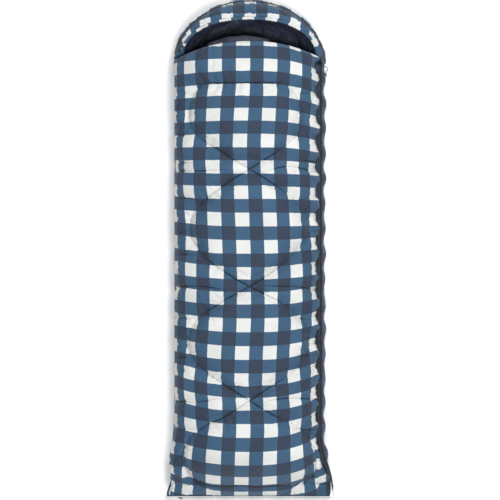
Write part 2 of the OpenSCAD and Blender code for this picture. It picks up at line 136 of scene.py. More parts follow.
def closed_loft(name, rings, uv_name="around_along"):
    """A closed skin over a row of rings of points, with a UV map of metres around and along."""
    rings = np.asarray(rings, float)
    count, sides = rings.shape[:2]
    mids = rings.mean(axis=1)
    spokes = rings[count // 2] - mids[count // 2]
    turning = np.cross(spokes, np.roll(spokes, -1, axis=0)).sum(axis=0)
    if turning.dot(mids[count // 2] - mids[count // 2 - 1]) > 0:
        rings = rings[:, ::-1]
    verts = np.concatenate([rings.reshape(-1, 3), mids[:1], mids[-1:]])
    k = np.arange(count - 1)[:, None] * sides
    i, j = np.arange(sides), (np.arange(sides) + 1) % sides
    quads = np.stack([k + i, k + sides + i, k + sides + j, k + j], -1).reshape(-1, 4)
    low, last = count * sides, (count - 1) * sides
    faces = quads.tolist()
    faces += [(low, a, b) for a, b in zip(i.tolist(), j.tolist())]
    faces += [(low + 1, last + b, last + a) for a, b in zip(i.tolist(), j.tolist())]
    mesh = bpy.data.meshes.new(name)
    mesh.from_pydata(verts.tolist(), [], faces)
    around = np.linalg.norm(np.roll(rings, -1, axis=1) - rings, axis=2).mean(axis=0)
    around = np.concatenate(([0], np.cumsum(around)))
    along = np.linalg.norm(np.diff(mids, axis=0), axis=1)
    along = np.concatenate(([0], np.cumsum(along)))
    face_k, face_i = np.divmod(np.arange(len(quads)), sides)
    spots = np.stack(
        [
            np.stack([around[face_i + di], along[face_k + dk]], -1)
            for di, dk in ((0, 0), (0, 1), (1, 1), (1, 0))
        ],
        axis=1,
    ).reshape(-1, 2)
    ends = [(around[a + d], along[e]) for e in (0, -1) for a in range(sides) for d in (0, 0, 1)]
    uv = mesh.uv_layers.new(name=uv_name)
    uv.data.foreach_set("uv", np.concatenate([spots, ends]).astype(np.float32).ravel())
    mesh.shade_smooth()
    mesh.update()
    piece = bpy.data.objects.new(name, mesh)
    bpy.context.scene.collection.objects.link(piece)
    return piece


def tube_mesh(name, route, radii, sides, uv_name="around_along"):
    """A closed round tube along a route."""
    route = np.asarray(route, float)
    radii = np.broadcast_to(np.asarray(radii, float), (len(route),))
    ahead = np.gradient(route, axis=0)
    ahead /= np.linalg.norm(ahead, axis=1)[:, None]
    side = np.cross(ahead[0], (0.123, 0.21, 0.97))
    turn = 2 * np.pi * np.arange(sides) / sides
    rings = []
    for k in range(len(route)):
        side = side - ahead[k] * side.dot(ahead[k])
        side /= np.linalg.norm(side)
        up = np.cross(side, ahead[k])
        rings.append(
            route[k] + radii[k] * (np.outer(np.cos(turn), side) + np.outer(np.sin(turn), up))
        )
    return closed_loft(name, rings, uv_name)


def cord_material(name, colour, thickness):
    """Braided cord: crossing strands as bumps, with painted shade darkening the valleys between
    them and painted light on their crests.
    """
    material, nodes, links, shader = principled(
        name, Roughness=0.62, Specular_IOR_Level=0.35, Sheen_Weight=0.2
    )
    uv = nodes.new("ShaderNodeUVMap")
    uv.uv_map = "around_along"
    waves = []
    for angle in (0.9, -0.9):
        mapping = nodes.new("ShaderNodeMapping")
        mapping.inputs["Rotation"].default_value = (0, 0, angle)
        mapping.inputs["Scale"].default_value = (1 / thickness, 1 / thickness, 1)
        links.new(uv.outputs["UV"], mapping.inputs["Vector"])
        wave = nodes.new("ShaderNodeTexWave")
        wave.inputs["Scale"].default_value = 1.1
        wave.inputs["Distortion"].default_value = 0.4
        links.new(mapping.outputs["Vector"], wave.inputs["Vector"])
        waves.append(wave)
    braid = nodes.new("ShaderNodeMath")
    braid.operation = "MAXIMUM"
    links.new(waves[0].outputs["Fac"], braid.inputs[0])
    links.new(waves[1].outputs["Fac"], braid.inputs[1])
    # Painted shade and light: darker in the valleys between the strands, lighter on their crests
    ramp = nodes.new("ShaderNodeValToRGB")
    ramp.color_ramp.elements[0].color = tuple(0.45 * c for c in colour) + (1,)
    ramp.color_ramp.elements[1].color = tuple(1.25 * c for c in colour) + (1,)
    links.new(braid.outputs[0], ramp.inputs["Fac"])
    links.new(ramp.outputs["Color"], shader.inputs["Base Color"])
    bump = nodes.new("ShaderNodeBump")
    bump.inputs["Strength"].default_value = 0.6
    bump.inputs["Distance"].default_value = 0.0006
    links.new(braid.outputs[0], bump.inputs["Height"])
    links.new(bump.outputs["Normal"], shader.inputs["Normal"])
    return material


pull_cord_d = 0.003
pull_eye = np.array((0.315064, 0.8104, 0.190065))
pull_route = 0.001 * np.array(
    [
        (0, 0, 1.2), (3.5, -0.4, 1), (8, -1, -2), (12, -1.6, -7), (16, -2.4, -13),
        (20, -4, -19), (24.5, -6.5, -24), (28, -9.5, -28), (29.6, -13, -31),
        (29, -17, -33.5), (26.6, -21, -35.5), (23.6, -25, -37), (21.4, -29, -38.2),
        (20.4, -33, -39.2),
    ]
) + pull_eye  # fmt: skip
pull_line = rounded_route(pull_route, 4)
pull_cord = tube_mesh("pull_cord", pull_line, pull_cord_d / 2, 12)
black_cord = cord_material("black_braid", (0.006, 0.007, 0.010), pull_cord_d)
pull_cord.data.materials.append(black_cord)
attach(pull_cord, "side_pull")
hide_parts("zip_pull_cord")

# The pull's knot is an overhand knot: a lump of three turns of the cord, with
# the two cut ends of the cord standing out below it.
knot_mid = pull_route[-1] - np.array((0, 0.0037, 0))
knot_turn = np.linspace(0, 2 * math.pi * 1.02, 54)
knot_line = knot_mid + np.stack(
    [
        0.0021 * (np.sin(knot_turn) + 0.55 * np.sin(2 * knot_turn)),
        0.0021 * (np.cos(knot_turn) - 0.55 * np.cos(2 * knot_turn)),
        -0.0016 * np.sin(3 * knot_turn),
    ],
    axis=1,
)
pull_knot = tube_mesh("pull_knot", knot_line, 0.0019, 10)
pull_knot.data.materials.append(black_cord)
knot_ends = []
for end_name, tip in (
    ("pull_cord_end_left", (-0.0055, -0.0145, -0.0022)),
    ("pull_cord_end_right", (0.0050, -0.0130, -0.0030)),
):
    tip = np.array(tip)
    end_line = rounded_route(
        [knot_mid, knot_mid + tip * (0.45, 0.4, 0.5), knot_mid + tip], 6
    )
    knot_end = tube_mesh(end_name, end_line, 0.0019, 10)
    knot_end.data.materials.append(black_cord)
    knot_ends.append(knot_end)
for piece in [pull_knot] + knot_ends:
    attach(piece, "side_pull")
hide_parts("zip_pull_knot")

tail_d = 0.0036
tail_out = np.array((-0.289612, 0.899144, 0.178012))
tail_way = np.array((-0.601815, -0.798636, 0))
tail_length = 0.031
tail_line = tail_out + np.outer(np.linspace(0, tail_length, 17), tail_way)
drawcord_end = tube_mesh("drawcord_end", tail_line, tail_d / 2, 12)
drawcord_end.data.materials.append(black_cord)
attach(drawcord_end, "bag")
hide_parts("drawcord_tail")
end_knot_mid = tail_out + tail_way * (tail_length + 0.0025)
end_side = np.array((tail_way[1], -tail_way[0], 0))
end_knot_line = (
    end_knot_mid
    + np.outer(0.0020 * (np.sin(knot_turn) + 0.5 * np.sin(2 * knot_turn)), end_side)
    + np.outer(0.0018 * (np.cos(knot_turn) - 0.5 * np.cos(2 * knot_turn)), tail_way)
    + np.outer(-0.0018 * np.sin(3 * knot_turn), (0, 0, 1))
)
end_knot = tube_mesh("drawcord_knot", end_knot_line, 0.0016, 10)
end_knot.data.materials.append(black_cord)
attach(end_knot, "bag")
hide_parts("drawcord_end_knot")


# Base quilt: the mat and sides of the bag in checked cotton over synthetic
# wadding, quilted through in waves, and cut at the right side for the zip.
half_w = 0.33
fold_z = 0.14
head_y = 0.815
foot_start_y = -0.88
foot_len = 0.204
seam_z = 0.06
cover_loft = 0.05
base_loft = 0.046
lining_t = 0.0008
thread_pitch = 0.0045


def smooth(t):
    c = np.clip(t, 0, 1)
    return c * c * (3 - 2 * c)


def mix(a, b, t):
    return a + (b - a) * t


def fold_height(s):
    return mix(fold_z, seam_z, smooth(s))


def section(s, angle, depth, is_base):
    """X and Z of the bag's outline at foot share s, at an angle in degrees, below its outside."""
    top = angle > 0
    power = np.where(top, 1.0, 0.625)
    rise_top = 0.026 + 0.114 * np.cos(np.radians(90 * s))
    rise_base = 0.024 + 0.122 * np.cos(np.radians(90 * s))
    wide_right = half_w + 0.018 * smooth(s)
    wide_left = half_w + (0.02 * smooth((s - 0.6) / 0.4) if is_base else 0)
    ca, sa = np.cos(np.radians(angle)), np.sin(np.radians(angle))
    wide = np.where(ca >= 0, wide_right, wide_left)
    high = np.where(top, rise_top, rise_base)
    x = (wide - depth) * np.sign(ca) * np.abs(ca) ** power
    z = fold_height(s) + (high - depth) * np.sign(sa) * np.abs(sa) ** power
    return x, np.maximum(depth, z)


def zip_angles(s):
    """Angles at foot share s where the cover starts and where the base starts."""
    mid = 19.5 * (1 - smooth(s))
    edges = []
    for way in (1, -1):
        steps = mid + way * np.arange(0, 60, 0.1)
        x, z = section(s, steps, 0, False)
        run = np.concatenate(([0], np.cumsum(np.hypot(np.diff(x), np.diff(z)))))
        edges.append(float(np.interp(0.0155, run, steps)))
    return edges


# Fabric position across the cover, in metres, against the angle of the section
check_angle = np.array(
    [12, 20, 24.5, 28.2, 51.7, 73.3, 94.05, 115.7, 140.3, 166.4, 180]
)
check_across = 0.001 * np.array(
    [397, 375, 368, 354, 236, 118, 0, -118, -236, -354, -388]
)
# Heights of the white rows on the middle line, and how the fabric, gathered along
# the zip and the fold, carries them up or down at the sides
row_y = 0.001 * np.array(
    [-1125, -1069, -1013, -915, -796, -677, -570, -453, -332, -213, -101, 15, 134, 253, 365,
     485, 599, 706, 815, 924]
)  # fmt: skip
row_along = 0.118 * np.arange(-18, 2)
wander_x = 0.001 * np.array(
    [-35, -35, -34, -31, -25, -28, -34, -31, -24, -23, -23, -25, -30, -35, -40, -40, -35,
     -28, -27, -27]
)  # fmt: skip
gather_y = 0.001 * np.array([-1075, -1025, -915, -570, -213, 15, 134, 365, 487, 815])
gather_right = 0.001 * np.array([20, 54, 63, 49, 28, 16, 0, -12, -32, -48])
gather_left = 0.001 * np.array([8, 22, 26, 26, 14, 13, 11, 2, -5, -12])


def cover_fabric(grid, angle):
    """Flat fabric position of each point of a cover grid, in metres."""
    x, y = grid[..., 0], grid[..., 1]
    right = np.interp(y, gather_y, gather_right) * np.clip(x / 0.291, 0, 1.1) ** 2.8
    left = np.interp(y, gather_y, gather_left) * np.clip(-x / 0.254, 0, 1.3) ** 2.5
    across = np.interp(angle, check_angle, check_across)
    across = across - np.interp(y, row_y, wander_x) - 0.0233
    return np.stack([across, np.interp(y - right - left, row_y, row_along)], -1)


def wave_seam(sign, crossings, reach, low, high):
    """Points [across, y] of one wavy quilting seam that crosses the middle at those heights."""
    y = np.linspace(low, high, 500)
    pitch = crossings[1] - crossings[0]
    k = (y - crossings[0]) / pitch
    return np.stack([sign * reach * np.sin(np.pi * k), y], axis=1)


def nearest_seam(across, y, seams):
    """Distance to the nearest seam, its run there, and each seam's mark.

    A mark is 1 plus the signed distance, and 0 past the seam's ends.
    """
    best = np.full(across.shape, 9.0)
    along = np.zeros(across.shape)
    marks = []
    for seam in seams:
        run = np.concatenate(
            ([0], np.cumsum(np.linalg.norm(np.diff(seam, axis=0), axis=1)))
        )
        way = np.gradient(seam, axis=0)
        gap = np.full(across.shape, 9.0)
        at = np.zeros(across.shape, int)
        for start in range(0, len(seam), 40):
            part = seam[start : start + 40]
            reach = np.hypot(across[..., None] - part[:, 0], y[..., None] - part[:, 1])
            low, near = reach.min(-1), reach.argmin(-1) + start
            gap, at = np.where(low < gap, low, gap), np.where(low < gap, near, at)
        turn = way[at, 0] * (y - seam[at, 1]) - way[at, 1] * (across - seam[at, 0])
        ends = (at == 0) | (at == len(seam) - 1)
        marks.append(np.where(ends, 0.0, 1 + turn / np.hypot(way[at, 0], way[at, 1])))
        along = np.where(gap < best, run[at], along)
        best = np.minimum(gap, best)
    return best, along, marks


def soft_noise(shape, cells, seed):
    """Smooth noise from -1 to 1 on a grid, with that many bumps each way."""
    rng = np.random.RandomState(seed)
    coarse = rng.uniform(-1, 1, (cells[0] + 3, cells[1] + 3))
    r = np.linspace(0, cells[0], shape[0])[:, None] + np.zeros((1, shape[1]))
    c = np.linspace(0, cells[1], shape[1])[None, :] + np.zeros((shape[0], 1))
    ri, ci = np.floor(r).astype(int), np.floor(c).astype(int)
    rf, cf = smooth(r - ri), smooth(c - ci)
    a = mix(coarse[ri, ci], coarse[ri, ci + 1], cf)
    b = mix(coarse[ri + 1, ci], coarse[ri + 1, ci + 1], cf)
    return mix(a, b, rf)


def outward(grid):
    """Unit normals of a curved grid of points, which point away from its middle."""
    n = np.cross(np.gradient(grid, axis=1), np.gradient(grid, axis=0))
    if (n * (grid - grid.mean(axis=(0, 1)))).sum() < 0:
        n = -n
    return n / np.maximum(np.linalg.norm(n, axis=2), 1e-12)[..., None]


def shell_piece(name, outer, inner, fabric, marks=()):
    """A closed piece between two grids, with a UV map of its flat fabric in metres."""
    rows, cols = outer.shape[:2]
    shift = rows * cols
    verts = np.concatenate([outer.reshape(-1, 3), inner.reshape(-1, 3)])
    index = np.arange(shift).reshape(rows, cols)
    a, b, c, d = index[:-1, :-1], index[:-1, 1:], index[1:, 1:], index[1:, :-1]
    skin = np.stack([a, b, c, d], -1).reshape(-1, 4)
    back = np.stack([a, d, c, b], -1).reshape(-1, 4) + shift
    rim = np.concatenate(
        [index[0], index[1:, -1], index[-1, -2::-1], index[-2:0:-1, 0]]
    )
    after = np.roll(rim, -1)
    wall = np.stack([rim, rim + shift, after + shift, after], -1)
    faces = np.concatenate([skin, back, wall])
    faces_up = np.cross(np.gradient(outer, axis=1), np.gradient(outer, axis=0))
    if (faces_up * (outer - inner)).sum() < 0:
        faces = faces[:, ::-1]
    mesh = bpy.data.meshes.new(name)
    mesh.from_pydata(verts.tolist(), [], faces.tolist())
    uv = mesh.uv_layers.new(name="flat_fabric")
    place = np.concatenate([fabric.reshape(-1, 2)] * 2)
    loops = np.empty(len(mesh.loops), int)
    mesh.loops.foreach_get("vertex_index", loops)
    uv.data.foreach_set("uv", place[loops].astype(np.float32).ravel())
    for mark_name, values in marks:
        mark = mesh.attributes.new(mark_name, "FLOAT", "POINT")
        flat = np.concatenate([values.ravel(), np.zeros(shift)])
        mark.data.foreach_set("value", flat.astype(np.float32))
    mesh.shade_smooth()
    mesh.update()
    piece = bpy.data.objects.new(name, mesh)
    bpy.context.scene.collection.objects.link(piece)
    return piece


def filled_cloth(name, grid, still, rise, spare, cap):
    """The grid after the wadding has swelled it: sewn points stay still, the rest is pushed out."""
    rows, cols = grid.shape[:2]
    index = np.arange(rows * cols).reshape(rows, cols)
    a, b, c, d = index[:-1, :-1], index[:-1, 1:], index[1:, 1:], index[1:, :-1]
    faces = np.stack([a, b, c, d], -1).reshape(-1, 4)
    faces_up = np.cross(np.gradient(grid, axis=1), np.gradient(grid, axis=0))
    if (faces_up * outward(grid)).sum() < 0:
        faces = faces[:, ::-1]
    mesh = bpy.data.meshes.new(name)
    mesh.from_pydata(grid.reshape(-1, 3).tolist(), [], faces.tolist())
    cloth_piece = bpy.data.objects.new(name, mesh)
    bpy.context.scene.collection.objects.link(cloth_piece)
    sewn = cloth_piece.vertex_groups.new(name="sewn")
    sewn.add(np.flatnonzero(still.ravel()).tolist(), 1.0, "REPLACE")
    cloth = cloth_piece.modifiers.new("filling", "CLOTH")
    settings = cloth.settings
    settings.quality = 5
    settings.mass = 0.25
    settings.tension_stiffness = 12
    settings.compression_stiffness = 12
    settings.shear_stiffness = 4
    settings.bending_stiffness = 0.4
    settings.air_damping = 4
    settings.vertex_group_mass = "sewn"
    settings.pin_stiffness = 1
    settings.shrink_min = -spare
    settings.use_pressure = True
    settings.uniform_pressure_force = rise
    settings.effector_weights.gravity = 0
    cloth.collision_settings.use_collision = False
    cloth.point_cache.frame_start = 1
    cloth.point_cache.frame_end = 20
    scene = bpy.context.scene
    for step in range(1, 21):
        scene.frame_set(step)
    evaluated = cloth_piece.evaluated_get(bpy.context.evaluated_depsgraph_get())
    moved = np.empty(rows * cols * 3)
    evaluated.data.vertices.foreach_get("co", moved)
    moved = moved.reshape(grid.shape) - grid
    scene.frame_set(1)
    bpy.data.objects.remove(cloth_piece)
    bpy.data.meshes.remove(mesh)
    size = np.linalg.norm(moved, axis=2)[..., None]
    return grid + moved * np.minimum(1, cap / np.maximum(size, 1e-9))


def check_fabric():
    """Woven gingham: two sets of blue stripes that are darkest where they cross."""
    material, nodes, links, shader = principled(
        "check_cotton", Specular_IOR_Level=0.22, Sheen_Weight=0.12, Sheen_Roughness=0.6
    )
    group = bpy.data.node_groups.new("gingham", "ShaderNodeTree")
    group.interface.new_socket("Fabric", in_out="INPUT", socket_type="NodeSocketVector")
    group.interface.new_socket("Repeat", in_out="INPUT", socket_type="NodeSocketFloat")
    group.interface.new_socket("Across", in_out="OUTPUT", socket_type="NodeSocketFloat")
    group.interface.new_socket("Along", in_out="OUTPUT", socket_type="NodeSocketFloat")
    gn, gl = group.nodes, group.links
    enter, leave = gn.new("NodeGroupInput"), gn.new("NodeGroupOutput")
    ripple = gn.new("ShaderNodeTexNoise")
    ripple.inputs["Scale"].default_value = 160
    gl.new(enter.outputs["Fabric"], ripple.inputs["Vector"])
    ripple_mid = gn.new("ShaderNodeVectorMath")
    ripple_mid.operation = "MULTIPLY_ADD"
    ripple_mid.inputs[1].default_value = (0.0008, 0.0008, 0)
    gl.new(ripple.outputs["Color"], ripple_mid.inputs[0])
    gl.new(enter.outputs["Fabric"], ripple_mid.inputs[2])
    parts = gn.new("ShaderNodeSeparateXYZ")
    gl.new(ripple_mid.outputs[0], parts.inputs[0])
    for way, out in (("X", "Across"), ("Y", "Along")):
        divide = gn.new("ShaderNodeMath")
        divide.operation = "DIVIDE"
        gl.new(parts.outputs[way], divide.inputs[0])
        gl.new(enter.outputs["Repeat"], divide.inputs[1])
        fold = gn.new("ShaderNodeMath")
        fold.operation = "PINGPONG"
        fold.inputs[1].default_value = 0.5
        gl.new(divide.outputs[0], fold.inputs[0])
        edge = gn.new("ShaderNodeMapRange")
        edge.interpolation_type = "SMOOTHSTEP"
        edge.inputs["From Min"].default_value = 0.243
        edge.inputs["From Max"].default_value = 0.257
        gl.new(fold.outputs[0], edge.inputs["Value"])
        gl.new(edge.outputs["Result"], leave.inputs[out])
    uv = nodes.new("ShaderNodeUVMap")
    uv.uv_map = "flat_fabric"
    check = nodes.new("ShaderNodeGroup")
    check.node_tree = group
    check.inputs["Repeat"].default_value = 0.118
    links.new(uv.outputs["UV"], check.inputs["Fabric"])
    threads = nodes.new("ShaderNodeTexNoise")
    threads.inputs["Scale"].default_value = 900
    threads.inputs["Detail"].default_value = 3
    links.new(uv.outputs["UV"], threads.inputs["Vector"])
    patches = nodes.new("ShaderNodeTexNoise")
    patches.inputs["Scale"].default_value = 7
    links.new(uv.outputs["UV"], patches.inputs["Vector"])
    white, blue, dark = (0.80, 0.815, 0.80), (0.048, 0.116, 0.205), (0.035, 0.053, 0.090)
    sets = []
    for low, high in ((white, blue), (blue, dark)):
        blend = nodes.new("ShaderNodeMix")
        blend.data_type = "RGBA"
        blend.inputs[6].default_value = low + (1,)
        blend.inputs[7].default_value = high + (1,)
        links.new(check.outputs["Across"], blend.inputs[0])
        sets.append(blend)
    both = nodes.new("ShaderNodeMix")
    both.data_type = "RGBA"
    links.new(check.outputs["Along"], both.inputs[0])
    links.new(sets[0].outputs[2], both.inputs[6])
    links.new(sets[1].outputs[2], both.inputs[7])
    for texture, low, high in ((threads, 0.86, 1.14), (patches, 0.93, 1.07)):
        value = nodes.new("ShaderNodeMapRange")
        value.inputs["From Min"].default_value = 0.3
        value.inputs["From Max"].default_value = 0.7
        value.inputs["To Min"].default_value = low
        value.inputs["To Max"].default_value = high
        links.new(texture.outputs["Fac"], value.inputs["Value"])
        shade = nodes.new("ShaderNodeVectorMath")
        shade.operation = "SCALE"
        links.new(both.outputs[2] if low < 0.9 else shaded.outputs[0], shade.inputs[0])
        links.new(value.outputs["Result"], shade.inputs["Scale"])
        shaded = shade
    # A sewn line or a sharp crease is where a mark on the surface passes 1; there the colour is
    # darkened as painted shade
    lines = []
    for mark_name in ("seam_one", "seam_two", "crease"):
        mark = nodes.new("ShaderNodeAttribute")
        mark.attribute_name = mark_name
        gap = nodes.new("ShaderNodeMath")
        gap.operation = "SUBTRACT"
        gap.inputs[1].default_value = 1
        links.new(mark.outputs["Fac"], gap.inputs[0])
        size = nodes.new("ShaderNodeMath")
        size.operation = "ABSOLUTE"
        links.new(gap.outputs[0], size.inputs[0])
        lines.append(size)
    nearest = lines[0]
    for other in lines[1:]:
        least = nodes.new("ShaderNodeMath")
        least.operation = "MINIMUM"
        links.new(nearest.outputs[0], least.inputs[0])
        links.new(other.outputs[0], least.inputs[1])
        nearest = least
    # Painted shade: away from the middle of the cover and from the creases, the darkening along a
    # seam is fainter
    seam_shade_fade_mark = nodes.new("ShaderNodeAttribute")
    seam_shade_fade_mark.attribute_name = "seam_shade_fade"
    deepest_seam_shade = nodes.new("ShaderNodeMapRange")
    deepest_seam_shade.inputs["To Min"].default_value = 0.22
    deepest_seam_shade.inputs["To Max"].default_value = 0.88
    links.new(seam_shade_fade_mark.outputs["Fac"], deepest_seam_shade.inputs["Value"])
    # The pale thread and the painted shade of a seam hardly show on the white squares: the shade is
    # lighter there than on the blue stripes
    dyed = nodes.new("ShaderNodeMath")
    dyed.operation = "MAXIMUM"
    links.new(check.outputs["Across"], dyed.inputs[0])
    links.new(check.outputs["Along"], dyed.inputs[1])
    shade_least = nodes.new("ShaderNodeMapRange")
    shade_least.inputs["To Min"].default_value = 0.74
    shade_least.inputs["To Max"].default_value = 0.20
    links.new(dyed.outputs[0], shade_least.inputs["Value"])
    links.new(shade_least.outputs["Result"], deepest_seam_shade.inputs["To Min"])
    # Painted shade: the colour is scaled down towards each seam and crease line; the same value
    # also drives the groove's bump
    groove_shade = nodes.new("ShaderNodeMapRange")
    groove_shade.interpolation_type = "SMOOTHSTEP"
    groove_shade.inputs["From Min"].default_value = 0.0006
    groove_shade.inputs["From Max"].default_value = 0.0060
    groove_shade.inputs["To Max"].default_value = 1
    links.new(nearest.outputs[0], groove_shade.inputs["Value"])
    links.new(deepest_seam_shade.outputs["Result"], groove_shade.inputs["To Min"])
    # The painted shade multiplied into the cotton's colour
    seam_shaded_colour = nodes.new("ShaderNodeVectorMath")
    seam_shaded_colour.operation = "SCALE"
    links.new(shaded.outputs[0], seam_shaded_colour.inputs[0])
    links.new(groove_shade.outputs["Result"], seam_shaded_colour.inputs["Scale"])
    links.new(seam_shaded_colour.outputs[0], shader.inputs["Base Color"])
    rough = nodes.new("ShaderNodeMapRange")
    rough.inputs["To Min"].default_value = 0.62
    rough.inputs["To Max"].default_value = 0.85
    links.new(threads.outputs["Fac"], rough.inputs["Value"])
    links.new(rough.outputs["Result"], shader.inputs["Roughness"])
    weave_height = []
    for way in ("X", "Y"):
        weave = nodes.new("ShaderNodeTexWave")
        weave.bands_direction = way
        weave.inputs["Scale"].default_value = 260
        links.new(uv.outputs["UV"], weave.inputs["Vector"])
        weave_height.append(weave)
    cross = nodes.new("ShaderNodeMath")
    cross.operation = "MAXIMUM"
    links.new(weave_height[0].outputs["Fac"], cross.inputs[0])
    links.new(weave_height[1].outputs["Fac"], cross.inputs[1])
    crumple = nodes.new("ShaderNodeTexNoise")
    crumple.inputs["Scale"].default_value = 55
    crumple.inputs["Detail"].default_value = 3
    links.new(uv.outputs["UV"], crumple.inputs["Vector"])
    coarse_bump = nodes.new("ShaderNodeBump")
    coarse_bump.inputs["Strength"].default_value = 0.55
    coarse_bump.inputs["Distance"].default_value = 0.006
    links.new(crumple.outputs["Fac"], coarse_bump.inputs["Height"])
    groove_bump = nodes.new("ShaderNodeBump")
    groove_bump.inputs["Strength"].default_value = 0.8
    groove_bump.inputs["Distance"].default_value = 0.003
    links.new(groove_shade.outputs["Result"], groove_bump.inputs["Height"])
    links.new(coarse_bump.outputs["Normal"], groove_bump.inputs["Normal"])
    bump = nodes.new("ShaderNodeBump")
    bump.inputs["Strength"].default_value = 0.25
    bump.inputs["Distance"].default_value = 0.0004
    links.new(cross.outputs[0], bump.inputs["Height"])
    links.new(groove_bump.outputs["Normal"], bump.inputs["Normal"])
    links.new(bump.outputs["Normal"], shader.inputs["Normal"])
    return material


check_cotton = check_fabric()


def quilted(grid, dist, along, edge, depth, swell, seed, pucker, edge_depth=0.004):
    """Pushes a smooth grid into pillows between its seams, with puckers that run into them."""
    normal = outward(grid)
    rows, cols = dist.shape
    wander = soft_noise((rows, cols), (rows // 6, cols // 6), seed)
    broad = soft_noise((rows, cols), (rows // 22 + 1, cols // 14 + 1), seed + 1)
    near = np.minimum(dist, edge)
    height = swell * (1 - np.exp(-near / 0.05)) - depth * np.exp(-dist / 0.013)
    height -= edge_depth * np.exp(-edge / 0.01)
    folds = np.sin(2 * np.pi * along / 0.034 + 3.2 * wander)
    folds += 0.7 * np.sin(2 * np.pi * along / 0.021 + 4.0 * broad)
    height += pucker * folds * np.exp(-dist / 0.032) * smooth(edge / 0.03)
    height += 0.0028 * broad * smooth(near / 0.06)
    return grid + normal * height[..., None]


def foot_spread(grid):
    """The filled foot spreads the sewn corners a little wider than the pattern's."""
    out = np.array(grid, float)
    x, y = out[..., 0], out[..., 1]
    start, reach = np.where(x > 0, 0.80, 0.70), np.where(x > 0, 0.16, 0.24)
    out[..., 0] = x + np.sign(x) * 0.0155 * smooth((np.abs(x) - 0.12) / 0.2) * smooth(
        (-start - y) / reach
    )
    return out


cell = 0.009
foot_rows = max(14, int(0.225 / cell))
body_rows = int((head_y - foot_start_y) / cell)
base_s = np.concatenate([np.linspace(1, 0, foot_rows), np.zeros(body_rows)])
base_y = np.concatenate(
    [
        foot_start_y - foot_len * np.linspace(1, 0, foot_rows),
        np.linspace(foot_start_y, head_y, body_rows + 1)[1:],
    ]
)
ring_angle = np.linspace(12, -180, 1200)
ring_x, ring_z = section(0.0, ring_angle, 0, True)
ring_run = np.concatenate(([0], np.cumsum(np.hypot(np.diff(ring_x), np.diff(ring_z)))))
base_cols = int(ring_run[-1] / cell)
base_even = np.interp(np.linspace(0, ring_run[-1], base_cols), ring_run, np.linspace(0, 1, 1200))


def base_grid(depth_of):
    grid = []
    for s, y in zip(base_s, base_y):
        angle = mix(zip_angles(s)[1] if s > 0 else 14.1, -180, base_even)
        x, z = section(s, angle, depth_of(s), True)
        z = np.where(x < 0, np.minimum(z, fold_height(s) - 0.0002), z)
        grid.append(np.stack([x, np.full_like(x, y), z], axis=1))
    return np.array(grid)


base_outer = base_grid(lambda s: 0.0)
base_inner = base_grid(
    lambda s: min(base_loft, 0.85 * (0.024 + 0.122 * math.cos(math.radians(90 * s))))
    - lining_t - 0.0004
)
fold_across = -0.388
base_step = np.linalg.norm(np.diff(base_outer[..., ::2], axis=1), axis=2)
base_reach = np.cumsum(base_step[:, ::-1], axis=1)[:, ::-1]
base_reach = np.concatenate([base_reach, np.zeros((len(base_s), 1))], axis=1)
base_across = fold_across - base_reach
base_along = np.interp(base_outer[..., 1], row_y, row_along)
back_mid = 0.5 * base_reach.max()
base_seams = [
    wave_seam(sign, (-0.663, -0.161), 0.27, -1.08, head_y) for sign in (1, -1)
]
base_dist, base_run, base_marks = nearest_seam(
    base_reach - back_mid, base_outer[..., 1], base_seams
)
base_marks = list(zip(("seam_one", "seam_two"), base_marks))
base_edge = np.minimum(
    np.minimum(base_outer[..., 1] + 1.084, np.abs(base_reach - base_reach[:, :1])),
    np.minimum(head_y + 0.01 - base_outer[..., 1], base_reach + 0.02),
)
base_full = quilted(base_outer, base_dist, base_run, base_edge, 0.008, 0.003, 11, 0.0022)
side_gathers = soft_noise(base_dist.shape, (90, 5), 12) * smooth(0.12 - base_edge / 0.6)
side_bulge = np.cos(2 * np.pi * (base_outer[..., 1] - 0.095) / 0.1094)
side_bulge += 0.45 * soft_noise(base_dist.shape, (46, 1), 13)
side_ends = smooth((base_outer[..., 1] + 1.06) / 0.08)
side_ends *= smooth((head_y - base_outer[..., 1]) / 0.05)
side_bulge *= side_ends * smooth((np.abs(base_outer[..., 0]) - 0.2) / 0.1)
side_bulge = np.where(base_outer[..., 0] > 0, side_bulge, 0.7 * np.minimum(side_bulge, 0))
bulge_depth, gather_depth = 0.0045, 0.0035
base_full += outward(base_outer) * (
    bulge_depth * side_bulge * smooth(base_edge / 0.03)
)[..., None]
base_full += outward(base_outer) * (
    gather_depth * side_gathers * smooth(base_edge / 0.02)
)[..., None]
flat_under = smooth((base_outer[..., 2] - 0.002) / 0.03)[..., None]
base_full = mix(base_outer, base_full, flat_under)
above_floor = 0.0004
base_full[..., 2] = np.maximum(base_full[..., 2], above_floor)
fold_plane = 0.0003 - half_w
beside_fold = np.abs(base_outer[..., 0] + half_w) < 0.05
beside_fold &= base_outer[..., 1] > foot_start_y
base_full[..., 0] = np.where(
    beside_fold, np.maximum(base_full[..., 0], fold_plane), base_full[..., 0]
)
base_flat = np.stack([base_across, base_along], -1)
base_full, base_inner = foot_spread(base_full), foot_spread(base_inner)
base_quilt = shell_piece("base_quilt", base_full, base_inner, base_flat, base_marks)
base_quilt.data.materials.append(check_cotton)
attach(base_quilt, "bag")
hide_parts("back_shell", "back_insulation")


